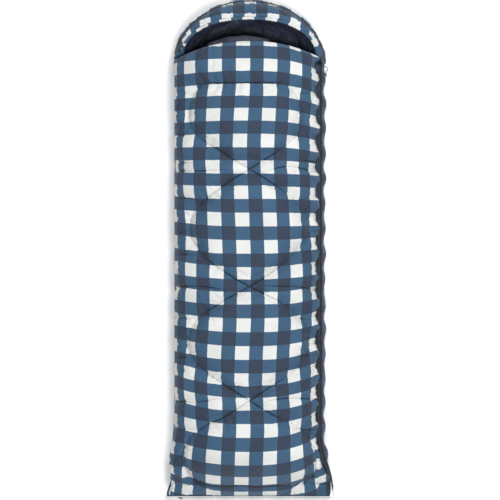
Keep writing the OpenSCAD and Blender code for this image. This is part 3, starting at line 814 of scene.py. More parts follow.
# Base lining: dark smooth polyester inside the base, drawn into the same seams
# as the outside, and sewn in along the zip, the fold and the foot.
def lining_material():
    """Close-woven dark polyester with a soft sheen and small creases."""
    material, nodes, links, shader = principled(
        "navy_lining", Specular_IOR_Level=0.4, Sheen_Weight=0.06, Sheen_Roughness=0.4
    )
    uv = nodes.new("ShaderNodeUVMap")
    uv.uv_map = "flat_fabric"
    cloud = nodes.new("ShaderNodeTexNoise")
    cloud.inputs["Scale"].default_value = 24
    cloud.inputs["Detail"].default_value = 5
    links.new(uv.outputs["UV"], cloud.inputs["Vector"])
    ramp = nodes.new("ShaderNodeValToRGB")
    ramp.color_ramp.elements[0].position = 0.3
    ramp.color_ramp.elements[0].color = (0.014, 0.018, 0.036, 1)
    ramp.color_ramp.elements[1].position = 0.7
    ramp.color_ramp.elements[1].color = (0.029, 0.036, 0.068, 1)
    links.new(cloud.outputs["Fac"], ramp.inputs["Fac"])
    links.new(ramp.outputs["Color"], shader.inputs["Base Color"])
    rough = nodes.new("ShaderNodeMapRange")
    rough.inputs["To Min"].default_value = 0.42
    rough.inputs["To Max"].default_value = 0.6
    links.new(cloud.outputs["Fac"], rough.inputs["Value"])
    links.new(rough.outputs["Result"], shader.inputs["Roughness"])
    weave = nodes.new("ShaderNodeTexWave")
    weave.bands_direction = "DIAGONAL"
    weave.inputs["Scale"].default_value = 300
    links.new(uv.outputs["UV"], weave.inputs["Vector"])
    fine = nodes.new("ShaderNodeBump")
    fine.inputs["Strength"].default_value = 0.2
    fine.inputs["Distance"].default_value = 0.0003
    links.new(weave.outputs["Fac"], fine.inputs["Height"])
    bump = nodes.new("ShaderNodeBump")
    bump.inputs["Strength"].default_value = 0.9
    bump.inputs["Distance"].default_value = 0.012
    links.new(cloud.outputs["Fac"], bump.inputs["Height"])
    links.new(fine.outputs["Normal"], bump.inputs["Normal"])
    links.new(bump.outputs["Normal"], shader.inputs["Normal"])
    return material


navy_lining = lining_material()


def lining_piece(name, inner, dist, fabric, puff, fold, seed):
    """A thin closed sheet just inside a quilt's inner grid, loose between the seams."""
    rows, cols = dist.shape
    ripple = soft_noise((rows, cols), (rows // 4 + 1, cols // 3 + 1), seed)
    broad = soft_noise((rows, cols), (rows // 12 + 1, cols // 6 + 1), seed + 1)
    loose = puff * smooth(dist / 0.06) + fold * (0.45 + 0.55 * broad) + 0.3 * fold * ripple
    border = np.ones((rows, cols))
    border[:2] = border[-2:] = 0
    border[:, :2] = border[:, -2:] = 0
    normal = outward(inner)
    loose = np.maximum(loose * border, 0)[..., None]
    return shell_piece(
        name, inner - normal * (0.0003 + loose), inner - normal * (0.0011 + loose), fabric
    )


base_lining = lining_piece(
    "base_lining",
    base_inner[::2, ::2],
    base_dist[::2, ::2],
    base_flat[::2, ::2],
    0.003,
    0.004,
    21,
)
base_lining.data.materials.append(navy_lining)
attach(base_lining, "bag")
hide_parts("back_lining")

# Cover quilt: the checked top of the bag. Two mirrored wavy seams cross on the
# middle line three times, and a level seam with round corners closes the top.
cover_top_y = 0.7


def neck_edge_y(x):
    return head_y + 0.105 - 0.084 * np.minimum(1, np.abs(x) / half_w) ** 2.2


cover_rows = int((cover_top_y - foot_start_y) / cell)
neck_rows = max(12, int(0.19 / cell))
cover_s = np.concatenate([np.linspace(1, 0, foot_rows), np.zeros(cover_rows + neck_rows)])
cover_f = np.concatenate([np.zeros(foot_rows + cover_rows), np.linspace(0, 1, neck_rows + 1)[1:]])
cover_y = np.concatenate(
    [
        foot_start_y - foot_len * np.linspace(1, 0, foot_rows),
        np.linspace(foot_start_y, cover_top_y, cover_rows + 1)[1:],
        np.full(neck_rows, cover_top_y),
    ]
)
ring_angle = np.linspace(24.5, 180, 1200)
ring_x, ring_z = section(0.0, ring_angle, 0, False)
ring_run = np.concatenate(([0], np.cumsum(np.hypot(np.diff(ring_x), np.diff(ring_z)))))
cover_cols = int(ring_run[-1] / cell)
cover_even = np.interp(
    np.linspace(0, ring_run[-1], cover_cols), ring_run, np.linspace(0, 1, 1200)
)


def cover_grid(share, inset):
    grid, angles = [], []
    for s, f, y in zip(cover_s, cover_f, cover_y):
        angle = mix(zip_angles(s)[0] if s > 0 else 24.5, 180, cover_even)
        high = 0.026 + 0.114 * math.cos(math.radians(90 * s))
        depth = share * min(cover_loft, 0.85 * high) * (1 - 0.5 * f * f) + inset
        x, z = section(s, angle, depth, False)
        low = fold_height(s)
        z = np.maximum(low + 0.0002, low + (z - low) * (1 - 0.05 * f * f))
        rows_y = mix(cover_top_y, neck_edge_y(x), f) if f > 0 else np.full_like(x, y)
        grid.append(np.stack([x, rows_y, z], axis=1))
        angles.append(angle)
    return np.array(grid), np.array(angles)


cover_outer, cover_angle = cover_grid(0, 0)
cover_inner, _ = cover_grid(1, -lining_t - 0.0004)
cover_across = np.interp(cover_angle, check_angle, check_across)
cover_flat = cover_fabric(cover_outer, cover_angle)


def at_cover(points):
    """Fabric positions [across, y] of places seen from above, given in millimetres."""
    p = 0.001 * np.array(points, float)
    angle = np.degrees(np.arccos(np.clip(p[:, 0] / half_w, -1, 1)))
    return np.stack([np.interp(angle, check_angle, check_across), p[:, 1]], axis=1)


right_wave = [
    (-214, -1040), (-262, -985), (-284, -905), (-262, -830), (-190, -770), (-112, -735),
    (0, -663), (112, -590), (205, -530), (255, -465), (272, -412), (262, -350),
    (228, -295), (140, -230), (0, -161), (-120, -90), (-205, -25), (-258, 50),
    (-268, 100), (-250, 160), (-195, 222), (-100, 295), (0, 356), (110, 425),
    (200, 492), (238, 550), (240, 606), (218, 664), (190, 705), (150, 733),
    (60, 737), (-80, 735), (-190, 736),
]  # fmt: skip
left_wave = [
    (222, -1040), (270, -985), (292, -905), (262, -820), (200, -770), (110, -728),
    (0, -663), (-112, -592), (-200, -532), (-262, -465), (-278, -412), (-262, -350),
    (-222, -298), (-130, -232), (0, -161), (115, -88), (205, -12), (262, 60),
    (270, 110), (250, 165), (190, 228), (100, 295), (0, 356), (-120, 430),
    (-215, 490), (-264, 548), (-272, 610), (-255, 670), (-228, 712), (-190, 736),
]  # fmt: skip
cover_seams = [
    rounded_route(np.pad(at_cover(w), ((0, 0), (0, 1))), 14)[:, :2]
    for w in (right_wave, left_wave)
]
cover_dist, cover_run, cover_marks = nearest_seam(
    cover_across, cover_outer[..., 1], cover_seams
)
cover_marks = list(zip(("seam_one", "seam_two"), cover_marks))
edge_sides = np.minimum(
    np.abs(cover_across - cover_across[:, :1]),
    np.abs(cover_across - cover_across[:, -1:]) + 0.03,
)
edge_ends = np.minimum(
    cover_outer[..., 1] + 1.084, neck_edge_y(cover_outer[..., 0]) - cover_outer[..., 1]
)
cover_edge = np.minimum(edge_sides, edge_ends)
cover_full = quilted(
    cover_outer, cover_dist, cover_run, cover_edge, 0.015, 0.006, 31, 0.0040
)
# The zip gathers the cover's edge into scallops, and the fold into broad lumps
zip_edge = np.abs(cover_across - cover_across[:, :1])
fold_edge = np.abs(cover_across - cover_across[:, -1:])
bulge = np.cos(2 * np.pi * (cover_outer[..., 1] - 0.095) / 0.1094)
bulge += 0.45 * soft_noise(cover_dist.shape, (46, 1), 37)
cover_full += outward(cover_outer) * (
    0.0065 * bulge * np.exp(-zip_edge / 0.045)
    + 0.0060 * soft_noise(cover_dist.shape, (34, 4), 38) * np.exp(-fold_edge / 0.05)
)[..., None]
cover_full[..., 0] += np.maximum(0.0052 * bulge, -0.002) * np.exp(-zip_edge / 0.014)
# Short gathers run in from the zip and from the fold
gathers = np.sin(
    2 * np.pi * cover_outer[..., 1] / 0.031 + 4 * soft_noise(cover_dist.shape, (24, 3), 39)
)
cover_full += outward(cover_outer) * (
    0.0022 * gathers * (np.exp(-zip_edge / 0.05) + np.exp(-fold_edge / 0.07))
)[..., None]
# Creases run from each crossing of the seams out to the sides, and shorter ones
# from the widest place of each wave
crease_list = [
    (0.356, 0.012, 0.06), (-0.161, 0.011, 0.06), (-0.663, 0.011, 0.06),
    (0.392, 0.010, 0.20), (-0.010, 0.006, 0.16), (-0.30, 0.006, 0.17),
    (-0.47, 0.006, 0.20), (0.50, 0.006, 0.20), (0.225, 0.006, 0.17),
    (-0.79, 0.006, 0.15), (0.69, 0.005, 0.19), (-0.55, 0.004, 0.25),
    (0.08, 0.005, 0.26), (-0.40, 0.005, 0.26), (-0.92, 0.005, 0.26),
]  # fmt: skip
crease_y = cover_outer[..., 1] + 0.016 * soft_noise(cover_dist.shape, (26, 5), 33)
crease_mark = np.zeros(cover_dist.shape)
crease_gap = np.full(cover_dist.shape, 9.0)
for height, deep, start in crease_list:
    gap = crease_y - height
    out_by = smooth((np.abs(cover_across) - start) / 0.10)
    cover_full = cover_full - outward(cover_outer) * (
        deep * np.exp(-np.abs(gap) / 0.014) * out_by * smooth(cover_edge / 0.015)
    )[..., None]
    scaled = gap / np.maximum(out_by * deep / 0.014, 0.02)
    crease_mark = np.where(np.abs(scaled) < crease_gap, 1 + scaled, crease_mark)
    crease_gap = np.minimum(crease_gap, np.abs(scaled))
foot_gap = cover_outer[..., 1] + 1.034 + 0.004 * soft_noise(cover_dist.shape, (6, 9), 35)
cover_full = cover_full - outward(cover_outer) * (
    0.009 * np.exp(-np.abs(foot_gap) / 0.012)
)[..., None]
crease_mark = np.where(np.abs(foot_gap) < crease_gap, 1 + foot_gap, crease_mark)
still = (cover_dist < 0.6 * cell) | (cover_edge < 0.002)
still[0] = still[-1] = True
still[:, 0] = still[:, -1] = True
cover_full = filled_cloth("cover_filling", cover_full, still, 3.0, 0.05, 0.009)
highest_fill = 0.2965
cover_full[..., 2] = np.minimum(cover_full[..., 2], highest_fill)
above_foot = cover_outer[..., 1] > foot_start_y
cover_full[..., 0] = np.where(
    above_foot, np.maximum(cover_full[..., 0], fold_plane), cover_full[..., 0]
)
cover_full, cover_inner = foot_spread(cover_full), foot_spread(cover_inner)
# These marks set where and how deeply the cotton's colour is darkened as painted shade along the
# seams and creases
cover_marks.append(("crease", crease_mark))
seam_shade_fade = smooth((np.abs(cover_across) - 0.12) / 0.09) * smooth(crease_gap / 0.02)
cover_marks.append(("seam_shade_fade", seam_shade_fade))
cover_quilt = shell_piece("cover_quilt", cover_full, cover_inner, cover_flat, cover_marks)
cover_quilt.data.materials.append(check_cotton)
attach(cover_quilt, "cover")
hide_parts("front_shell", "front_insulation")

cover_lining = lining_piece(
    "cover_lining",
    cover_inner[::2, ::2],
    cover_dist[::2, ::2],
    cover_flat[::2, ::2],
    0.003,
    0.004,
    41,
)
cover_lining.data.materials.append(navy_lining)
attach(cover_lining, "cover")
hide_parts("front_lining")

# Hood quilt: checked cotton over wadding, cut in two panels that are sewn together
# along the piping, and gathered where its brim meets the drawcord tunnel.
hood_len = 0.28
brim_loft = 0.016


def brim_angle(t):
    arch = mix(8, 38.8, math.sin(math.radians(t)) ** 1.5)
    if t < 90:
        return mix(12, arch, float(smooth((t - 9) / 9)))
    return mix(-0.4, arch, float(smooth((171 - t) / 9)))


def hood_loft(a):
    return mix(base_loft, brim_loft, smooth((a + 10) / 35))


def hood_point(t, a, share, inset):
    """Points of the hood at turn t round its outline and angles a up its side."""
    a = np.asarray(a, float)
    depth = share * hood_loft(a) + inset
    power = np.where(a > 0, 1.0, 0.625)
    high = np.where(a > 0, fold_z, fold_z + 0.006)
    k = np.cos(np.radians(a)) ** power
    sa = np.sin(np.radians(a))
    z = np.maximum(depth, fold_z + (high - depth) * np.sign(sa) * np.abs(sa) ** power)
    x = (half_w - depth) * k * math.cos(math.radians(t))
    y = head_y + (hood_len - depth) * k * math.sin(math.radians(t))
    return np.stack([x, y, z], axis=-1)


hood_turns = np.linspace(180, 0, int(0.96 / cell))
hood_cols = int(0.50 / cell)


def hood_grid(share, inset):
    grid = []
    for t in hood_turns:
        even = np.linspace(-89.9, brim_angle(t), 600)
        line = hood_point(t, even, 0, 0)
        run = np.concatenate(([0], np.cumsum(np.linalg.norm(np.diff(line, axis=0), axis=1))))
        a = np.interp(np.linspace(0, run[-1], hood_cols), run, even)
        grid.append(hood_point(t, a, share, inset))
    return np.array(grid)


def hood_fabric(grid):
    """Flat fabric of the hood: stripes run straight up it, seen from above, and rows round it."""
    x, y, z = grid[..., 0], grid[..., 1] - head_y, grid[..., 2] - fold_z
    scale = np.sqrt(np.maximum(1 - (x / half_w) ** 2, 0.02))
    turn = np.arctan2(z / 0.14, np.maximum(y, 1e-6) / hood_len)
    steps = np.linspace(-math.pi / 2, math.pi / 2, 721)
    speed = np.hypot(hood_len * np.sin(steps), 0.14 * np.cos(steps))
    run = np.cumsum(speed) * (steps[1] - steps[0])
    out = (run[-1] - np.interp(turn, steps, run)) * scale
    out = out + 0.028 * (np.abs(x) / 0.208) ** 4
    beside = x + 0.25 * np.sign(x) * np.maximum(np.abs(x) - 0.2, 0)
    return np.stack([(beside - 0.004) * 1.168, out - 0.208], -1)


hood_outer = hood_grid(0, 0)
hood_inner = hood_grid(1, -lining_t - 0.0004)
hood_run = np.linalg.norm(np.diff(hood_outer[:, -1], axis=0), axis=1)
hood_run = np.concatenate(([0], np.cumsum(hood_run)))[:, None] + 0 * hood_outer[..., 0]
to_brim = np.linalg.norm(np.diff(hood_outer, axis=1), axis=2)
to_brim = np.concatenate(
    [np.cumsum(to_brim[:, ::-1], axis=1)[:, ::-1], np.zeros((len(hood_turns), 1))], axis=1
)
piping_z = fold_z + 0.14 * math.sin(math.radians(7))
to_piping = np.abs(hood_outer[..., 2] - piping_z) + np.where(hood_outer[..., 2] < 0.02, 0.2, 0)
hood_dist = np.minimum(to_brim, to_piping)
hood_full = quilted(
    hood_outer, hood_dist, hood_run, to_brim + 0.02, 0.004, 0.005, 51, 0.0030, 0.002
)
hood_folds = soft_noise(hood_dist.shape, (46, 5), 53) * smooth(1 - to_brim / 0.14)
hood_full += outward(hood_outer) * (0.0030 * hood_folds)[..., None]
under = smooth((hood_outer[..., 2] - 0.002) / 0.03)[..., None]
hood_full = mix(hood_outer, hood_full, under)
hood_still = (to_brim < 0.004) | (to_piping < 0.006) | (hood_outer[..., 2] < 0.02)
hood_still[0] = hood_still[-1] = True
hood_full = filled_cloth("hood_filling", hood_full, hood_still, 3.0, 0.05, 0.008)
hood_full[..., 2] = np.maximum(hood_full[..., 2], 0.0004)
hood_flat = hood_fabric(hood_outer)
hood_quilt = shell_piece("hood_quilt", hood_full, hood_inner, hood_flat)
hood_quilt.data.materials.append(check_cotton)
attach(hood_quilt, "bag")
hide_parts("hood_shell", "hood_insulation")

hood_lining = lining_piece(
    "hood_lining_cloth",
    hood_inner[::2, ::2],
    to_brim[::2, ::2],
    hood_flat[::2, ::2],
    0.006,
    0.024,
    61,
)
hood_lining.data.materials.append(navy_lining)
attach(hood_lining, "bag")
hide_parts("hood_lining")


# Drawcord tunnel: a bias strip of the same cotton folded round the cord and sewn
# to the brim. The cord's pull ruches it into short folds.
casing_r = 0.0065


def casing_mid(t):
    a = brim_angle(t)
    p, q = hood_point(t, a, 0.5, 0), hood_point(t, a + 2, 0.5, 0)
    return p + (q - p) / np.linalg.norm(q - p) * (casing_r + 0.0016)


casing_turns = mix(19, 161, np.linspace(0, 1, 31))
casing_line = rounded_route([casing_mid(t) for t in casing_turns], 9)
casing_along = np.concatenate(
    ([0], np.cumsum(np.linalg.norm(np.diff(casing_line, axis=0), axis=1)))
)
casing_sides = 20
casing_ahead = np.gradient(casing_line, axis=0)
casing_ahead /= np.linalg.norm(casing_ahead, axis=1)[:, None]
casing_side = np.cross(casing_ahead, (0, 0, 1))
casing_side /= np.linalg.norm(casing_side, axis=1)[:, None]
casing_up = np.cross(casing_side, casing_ahead)
ruche = np.sin(2 * np.pi * casing_along / 0.0155 + 1.5 * np.sin(casing_along / 0.03))
ruche = 0.0006 * ruche + 0.0005 * np.sin(2 * np.pi * casing_along / 0.043)
turn = 2 * np.pi * np.arange(casing_sides + 1) / casing_sides
lump = 1 + 0.10 * soft_noise((len(casing_line), casing_sides + 1), (70, 5), 71)
lump[:, -1] = lump[:, 0]


def casing_skin(radius):
    return casing_line[:, None] + radius[..., None] * (
        np.cos(turn)[:, None] * casing_side[:, None]
        + np.sin(turn)[:, None] * casing_up[:, None]
    )


casing_outer = casing_skin((casing_r - 0.0002 + ruche)[:, None] * lump)
casing_inner = casing_skin(np.full(lump.shape, 0.0031))
casing_flat = np.stack(
    [
        (casing_outer[..., 0] * 0 + casing_line[:, None, 0] + 0.005) * 1.168,
        casing_r * (turn - np.pi)[None, :] + 0 * lump,
    ],
    -1,
)
brim_tunnel = shell_piece("brim_tunnel", casing_outer, casing_inner, casing_flat)
brim_tunnel.data.materials.append(check_cotton)
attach(brim_tunnel, "bag")
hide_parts("hood_brim_casing")


# Fold seam: where the cover and the base meet at the left, the cotton runs round
# from one to the other.
def columns_at(grid, heights, picks):
    """Points of some of a grid's columns at given heights along the bag."""
    return np.stack(
        [
            np.stack([np.interp(heights, grid[:, c, 1], grid[:, c, k]) for k in range(3)], -1)
            for c in picks
        ],
        axis=1,
    )


fold_y = np.linspace(-1.083, head_y - 0.001, int(1.9 / cell))
fold_picks = (-5, -4, -3, -2, -1)
base_fold = columns_at(base_full + outward(base_outer) * 0.0009, fold_y, fold_picks)
cover_fold = columns_at(cover_full + outward(cover_outer) * 0.0009, fold_y, fold_picks)
fold_mid = 0.5 * (base_fold[:, -1:] + cover_fold[:, -1:])
fold_outer = np.concatenate([base_fold[:, :-1], fold_mid, cover_fold[:, -2::-1]], axis=1)
fold_inner = fold_outer - outward(fold_outer) * 0.0006


def flat_at(grid, flat, picks):
    lifted = np.concatenate([flat[..., :1], grid[..., 1:2], flat[..., 1:2]], -1)
    return columns_at(lifted, fold_y, picks)[..., (0, 2)]


base_fold_flat = flat_at(base_outer, base_flat, fold_picks)
cover_fold_flat = flat_at(cover_outer, cover_flat, fold_picks)
fold_flat = np.concatenate([base_fold_flat, cover_fold_flat[:, -2::-1]], axis=1)
fold_seam = shell_piece("fold_seam", fold_outer, fold_inner, fold_flat)
fold_seam.data.materials.append(check_cotton)
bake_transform(fold_seam)

# Neck facing: the lining is turned over at the cover's top edge and stands up
# behind it as a soft roll.
facing_x = np.linspace(-0.185, 0.085, 40)
facing_size = np.sin(np.linspace(0.02, math.pi - 0.02, 40)) ** 0.6
facing_angle = np.arccos(facing_x / half_w)
facing_rings = []
facing_lump = soft_noise((40, 14), (12, 4), 81)
for n in range(40):
    wide, high = 0.004 + 0.011 * facing_size[n], 0.003 + 0.007 * facing_size[n]
    mid_y = neck_edge_y(facing_x[n]) + 0.004 + 0.004 * facing_size[n]
    mid_z = fold_z + 0.133 * math.sin(facing_angle[n]) - 0.013
    turn = 2 * np.pi * np.arange(14) / 14
    lump = 1 + 0.12 * facing_lump[n]
    facing_rings.append(
        np.stack(
            [
                np.full(14, facing_x[n]),
                mid_y + wide * np.cos(turn) * lump,
                mid_z + high * np.sin(turn) * lump,
            ],
            -1,
        )
    )
neck_facing = closed_loft("neck_facing", facing_rings, "flat_fabric")
neck_facing.data.materials.append(navy_lining)
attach(neck_facing, "cover")

# Draught tube: a tube of lining filled with wadding, hung behind the zip from a
# flange in the cover's side seam.
draft_r, draft_drop = 0.0134, 0.0188
draft_mid = (0.2558, 0.1578)
draft_turn = np.radians(np.linspace(102, 438, 26))
draft_y = np.linspace(-0.8695, 0.6995, 150)
draft_lump = 1 + 0.035 * soft_noise((150, 26), (40, 4), 83)
draft_rings = []
for n, y in enumerate(draft_y):
    r = draft_r * np.minimum(draft_lump[n], 1.0) * min(1, 0.75 + 8 * min(y + 0.8695, 0.6995 - y))
    ring_x = draft_mid[0] + r * np.cos(draft_turn)
    ring_z = draft_mid[1] + r * np.sin(draft_turn)
    ring_x = np.concatenate([ring_x, [draft_mid[0] + 0.0004, draft_mid[0] - 0.0024]])
    ring_z = np.concatenate([ring_z, [draft_mid[1] + draft_drop] * 2])
    draft_rings.append(np.stack([ring_x, np.full(28, y), ring_z], -1)[::-1])
draft_tube = closed_loft("draught_tube", draft_rings, "flat_fabric")
draft_tube.data.materials.append(navy_lining)
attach(draft_tube, "cover")
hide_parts("front_draft_tube")

# Piping: a cord wrapped in a dark bias strip and caught in the hood's seam.
def trim_material():
    """Dark ribbed bias tape with a slight sheen."""
    material, nodes, links, shader = principled(
        "bias_trim", Specular_IOR_Level=0.35, Sheen_Weight=0.2, Roughness=0.55
    )
    uv = nodes.new("ShaderNodeUVMap")
    uv.uv_map = "around_along"
    ribs = nodes.new("ShaderNodeTexWave")
    ribs.bands_direction = "DIAGONAL"
    ribs.inputs["Scale"].default_value = 180
    ribs.inputs["Distortion"].default_value = 0.6
    links.new(uv.outputs["UV"], ribs.inputs["Vector"])
    ramp = nodes.new("ShaderNodeValToRGB")
    ramp.color_ramp.elements[0].color = (0.008, 0.010, 0.017, 1)
    ramp.color_ramp.elements[1].color = (0.022, 0.027, 0.042, 1)
    links.new(ribs.outputs["Fac"], ramp.inputs["Fac"])
    links.new(ramp.outputs["Color"], shader.inputs["Base Color"])
    bump = nodes.new("ShaderNodeBump")
    bump.inputs["Strength"].default_value = 0.4
    bump.inputs["Distance"].default_value = 0.0004
    links.new(ribs.outputs["Fac"], bump.inputs["Height"])
    links.new(bump.outputs["Normal"], shader.inputs["Normal"])
    return material


bias_trim = trim_material()
piping_d = 0.005
piping_line = rounded_route(
    [hood_point(t, 7.0, 0, -piping_d / 2 - 0.0004) for t in np.linspace(3, 162, 35)], 4
)
piping_wave = 0.0002 * np.sin(np.arange(len(piping_line)) * 1.7)
hood_piping = tube_mesh("hood_piping_cord", piping_line, piping_d / 2 + piping_wave, 12)
hood_piping.data.materials.append(bias_trim)
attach(hood_piping, "bag")
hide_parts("hood_piping")

# Drawcord inside the tunnel: the same braided cord as the tail.
tunnel_cord = tube_mesh("tunnel_cord", casing_line, tail_d / 2, 10)
tunnel_cord.data.materials.append(black_cord)
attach(tunnel_cord, "bag")
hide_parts("hood_drawcord")


# Zip tapes: two woven polyester tapes, one sewn to the cover and one to the base,
# that run down the right side, round the foot corner and across the foot.
def side_frame(s, y):
    a = 19.5 * (1 - float(smooth(s)))
    spots = [np.array(section(s, np.array([a + d]), 0, False)).ravel() for d in (0, 1, -1)]
    across = spots[2] - spots[1]
    across /= np.linalg.norm(across)
    out = np.array((-across[1], 0, across[0]))
    place = np.array((spots[0][0], y, spots[0][1])) + out * 0.005 * float(smooth(s))
    return place, np.array((across[0], 0, across[1])), out


def foot_frame(x, y, turn):
    t = math.radians(turn)
    out = np.array((math.cos(t), -math.sin(t), 0))
    return np.array((x, y, seam_z)), np.array((0, 0, -1.0)), out


def zip_route(top_y, end_x, step):
    """Even frames [place, across, outwards] along the zip from its top to its foot end."""
    seam_y = foot_start_y - foot_len
    corner_x = half_w + 0.018
    frames = [side_frame(0, top_y)]
    for s in (0, 0.1, 0.2, 0.3, 0.4, 0.5, 0.6, 0.7, 0.8, 0.9, 0.97):
        frames.append(side_frame(s, foot_start_y - foot_len * s))
    for x, y, turn in ((5, 2, 8), (4, -3, 35), (0, -5.5, 70), (-8, -6, 90)):
        frames.append(foot_frame(corner_x + 0.001 * x, seam_y + 0.001 * y, turn))
    frames.append(foot_frame(end_x, seam_y - 0.006, 90))
    frames = np.array(frames)
    run = np.linalg.norm(np.diff(frames[:, 0], axis=0), axis=1)
    run = np.concatenate(([0], np.cumsum(run)))
    even = np.unique(np.concatenate([np.linspace(0, run[-1], int(run[-1] / step)), run]))
    out = np.empty((len(even), 3, 3))
    for k in range(3):
        for c in range(3):
            out[:, k, c] = np.interp(even, run, frames[:, k, c])
    out[:, 1:] /= np.linalg.norm(out[:, 1:], axis=2)[..., None]
    # Between the pinches of the quilting the zip is pushed out a little
    y = out[:, 0, 1]
    push = np.cos(2 * np.pi * (y - 0.095) / 0.1094) * smooth((0.78 - y) / 0.1)
    push *= smooth((y - foot_start_y) / 0.1)
    out[:, 0] += 0.0024 * push[:, None] * out[:, 1]
    out[:, 0] = np.where(out[:, 0, :1] > 0, foot_spread(out[:, 0]), out[:, 0])
    return out, even


def tape_material():
    """Woven zip tape: fine herringbone ribs in dark yarn."""
    material, nodes, links, shader = principled(
        "zip_tape_weave", Specular_IOR_Level=0.3, Sheen_Weight=0.15, Roughness=0.7
    )
    uv = nodes.new("ShaderNodeUVMap")
    uv.uv_map = "flat_fabric"
    parts = nodes.new("ShaderNodeSeparateXYZ")
    links.new(uv.outputs["UV"], parts.inputs[0])
    fold = nodes.new("ShaderNodeMath")
    fold.operation = "PINGPONG"
    fold.inputs[1].default_value = 0.0022
    links.new(parts.outputs["X"], fold.inputs[0])
    slant = nodes.new("ShaderNodeMath")
    slant.operation = "ADD"
    links.new(fold.outputs[0], slant.inputs[0])
    links.new(parts.outputs["Y"], slant.inputs[1])
    ribs = nodes.new("ShaderNodeMath")
    ribs.operation = "PINGPONG"
    ribs.inputs[1].default_value = 0.0007
    links.new(slant.outputs[0], ribs.inputs[0])
    height = nodes.new("ShaderNodeMapRange")
    height.inputs["From Max"].default_value = 0.0007
    links.new(ribs.outputs[0], height.inputs["Value"])
    ramp = nodes.new("ShaderNodeValToRGB")
    ramp.color_ramp.elements[0].color = (0.008, 0.010, 0.016, 1)
    ramp.color_ramp.elements[1].color = (0.020, 0.024, 0.037, 1)
    links.new(height.outputs["Result"], ramp.inputs["Fac"])
    links.new(ramp.outputs["Color"], shader.inputs["Base Color"])
    bump = nodes.new("ShaderNodeBump")
    bump.inputs["Strength"].default_value = 0.5
    bump.inputs["Distance"].default_value = 0.0004
    links.new(height.outputs["Result"], bump.inputs["Height"])
    links.new(bump.outputs["Normal"], shader.inputs["Normal"])
    return material


tape_weave = tape_material()
tape_half_w, coil_gap, coil_w, tape_t = 0.0152, 0.0009, 0.0028, 0.001
front_zip, front_run = zip_route(0.8165, -0.2925, 0.006)
back_zip, back_run = zip_route(0.841, -0.320, 0.006)


def tape_piece(name, route, run, side, seed):
    """One tape: straight at the coil, lightly gathered at its sewn outer edge."""
    spans = np.linspace(coil_gap + coil_w, tape_half_w, 6)
    wave = np.sin(2 * np.pi * run / 0.052 + 2 * soft_noise((len(run), 1), (40, 1), seed)[:, 0])
    share = (spans - spans[0]) / (spans[-1] - spans[0])
    place, across, out = route[:, 0], route[:, 1], route[:, 2]
    reach = spans[None, :] - 0.0009 * (wave[:, None] + 1) * share**2
    lift = 0.0007 * wave[:, None] * share**2 * np.minimum(1, (run[-1] - run[:, None]) / 0.05)
    grids = []
    for level in (tape_t / 2, -tape_t / 2):
        grids.append(
            place[:, None]
            + side * reach[..., None] * across[:, None]
            + (lift + level)[..., None] * out[:, None]
        )
    flat = np.stack([side * reach, run[:, None] + 0 * reach], -1)
    if side > 0:
        grids, flat = [g[:, ::-1] for g in grids], flat[:, ::-1]
    piece = shell_piece(name, grids[0], grids[1], flat)
    piece.data.materials.append(tape_weave)
    return piece


front_tape = tape_piece("zip_tape_cover", front_zip, front_run, -1, 91)
back_tape = tape_piece("zip_tape_base", back_zip, back_run, 1, 92)
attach(front_tape, "cover")
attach(back_tape, "bag")
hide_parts("zip_tape_front")
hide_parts("zip_tape_back")


# Zip coils: a nylon thread wound into even turns round a core cord, one coil
# sewn to the edge of each tape.
def along_path(tree_name, sizes, make_one):
    """A node tree that sets copies of one small shape along each path of a mesh."""
    tree = bpy.data.node_groups.new(tree_name, "GeometryNodeTree")
    face = tree.interface
    face.new_socket("Geometry", in_out="OUTPUT", socket_type="NodeSocketGeometry")
    face.new_socket("Path", in_out="INPUT", socket_type="NodeSocketGeometry")
    face.new_socket("Pitch", in_out="INPUT", socket_type="NodeSocketFloat")
    for size in sizes:
        face.new_socket(size, in_out="INPUT", socket_type="NodeSocketFloat")
    face.new_socket("Finish", in_out="INPUT", socket_type="NodeSocketMaterial")
    nodes, links = tree.nodes, tree.links
    enter, leave = nodes.new("NodeGroupInput"), nodes.new("NodeGroupOutput")
    curve = nodes.new("GeometryNodeMeshToCurve")
    even = nodes.new("GeometryNodeResampleCurve")
    even.mode = "LENGTH"
    tangent = nodes.new("GeometryNodeInputTangent")
    turn = nodes.new("FunctionNodeAlignRotationToVector")
    turn.axis = "Z"
    copies = nodes.new("GeometryNodeInstanceOnPoints")
    real = nodes.new("GeometryNodeRealizeInstances")
    finish = nodes.new("GeometryNodeSetMaterial")
    links.new(enter.outputs["Path"], curve.inputs[0])
    links.new(curve.outputs[0], even.inputs["Curve"])
    links.new(enter.outputs["Pitch"], even.inputs["Length"])
    links.new(even.outputs[0], copies.inputs["Points"])
    links.new(tangent.outputs[0], turn.inputs["Vector"])
    links.new(turn.outputs[0], copies.inputs["Rotation"])
    links.new(make_one(nodes, links, enter), copies.inputs["Instance"])
    links.new(copies.outputs[0], real.inputs[0])
    links.new(real.outputs[0], finish.inputs["Geometry"])
    links.new(enter.outputs["Finish"], finish.inputs["Material"])
    links.new(finish.outputs[0], leave.inputs[0])
    return tree


def one_turn(nodes, links, enter):
    ring = nodes.new("GeometryNodeCurvePrimitiveCircle")
    ring.inputs["Resolution"].default_value = 10
    links.new(enter.outputs["Turn radius"], ring.inputs["Radius"])
    wire = nodes.new("GeometryNodeCurvePrimitiveCircle")
    wire.inputs["Resolution"].default_value = 5
    links.new(enter.outputs["Thread radius"], wire.inputs["Radius"])
    skin = nodes.new("GeometryNodeCurveToMesh")
    links.new(ring.outputs[0], skin.inputs["Curve"])
    links.new(wire.outputs[0], skin.inputs["Profile Curve"])
    lean = nodes.new("GeometryNodeTransform")
    lean.inputs["Rotation"].default_value = (0.22, 0, 0)
    links.new(skin.outputs[0], lean.inputs["Geometry"])
    return lean.outputs[0]


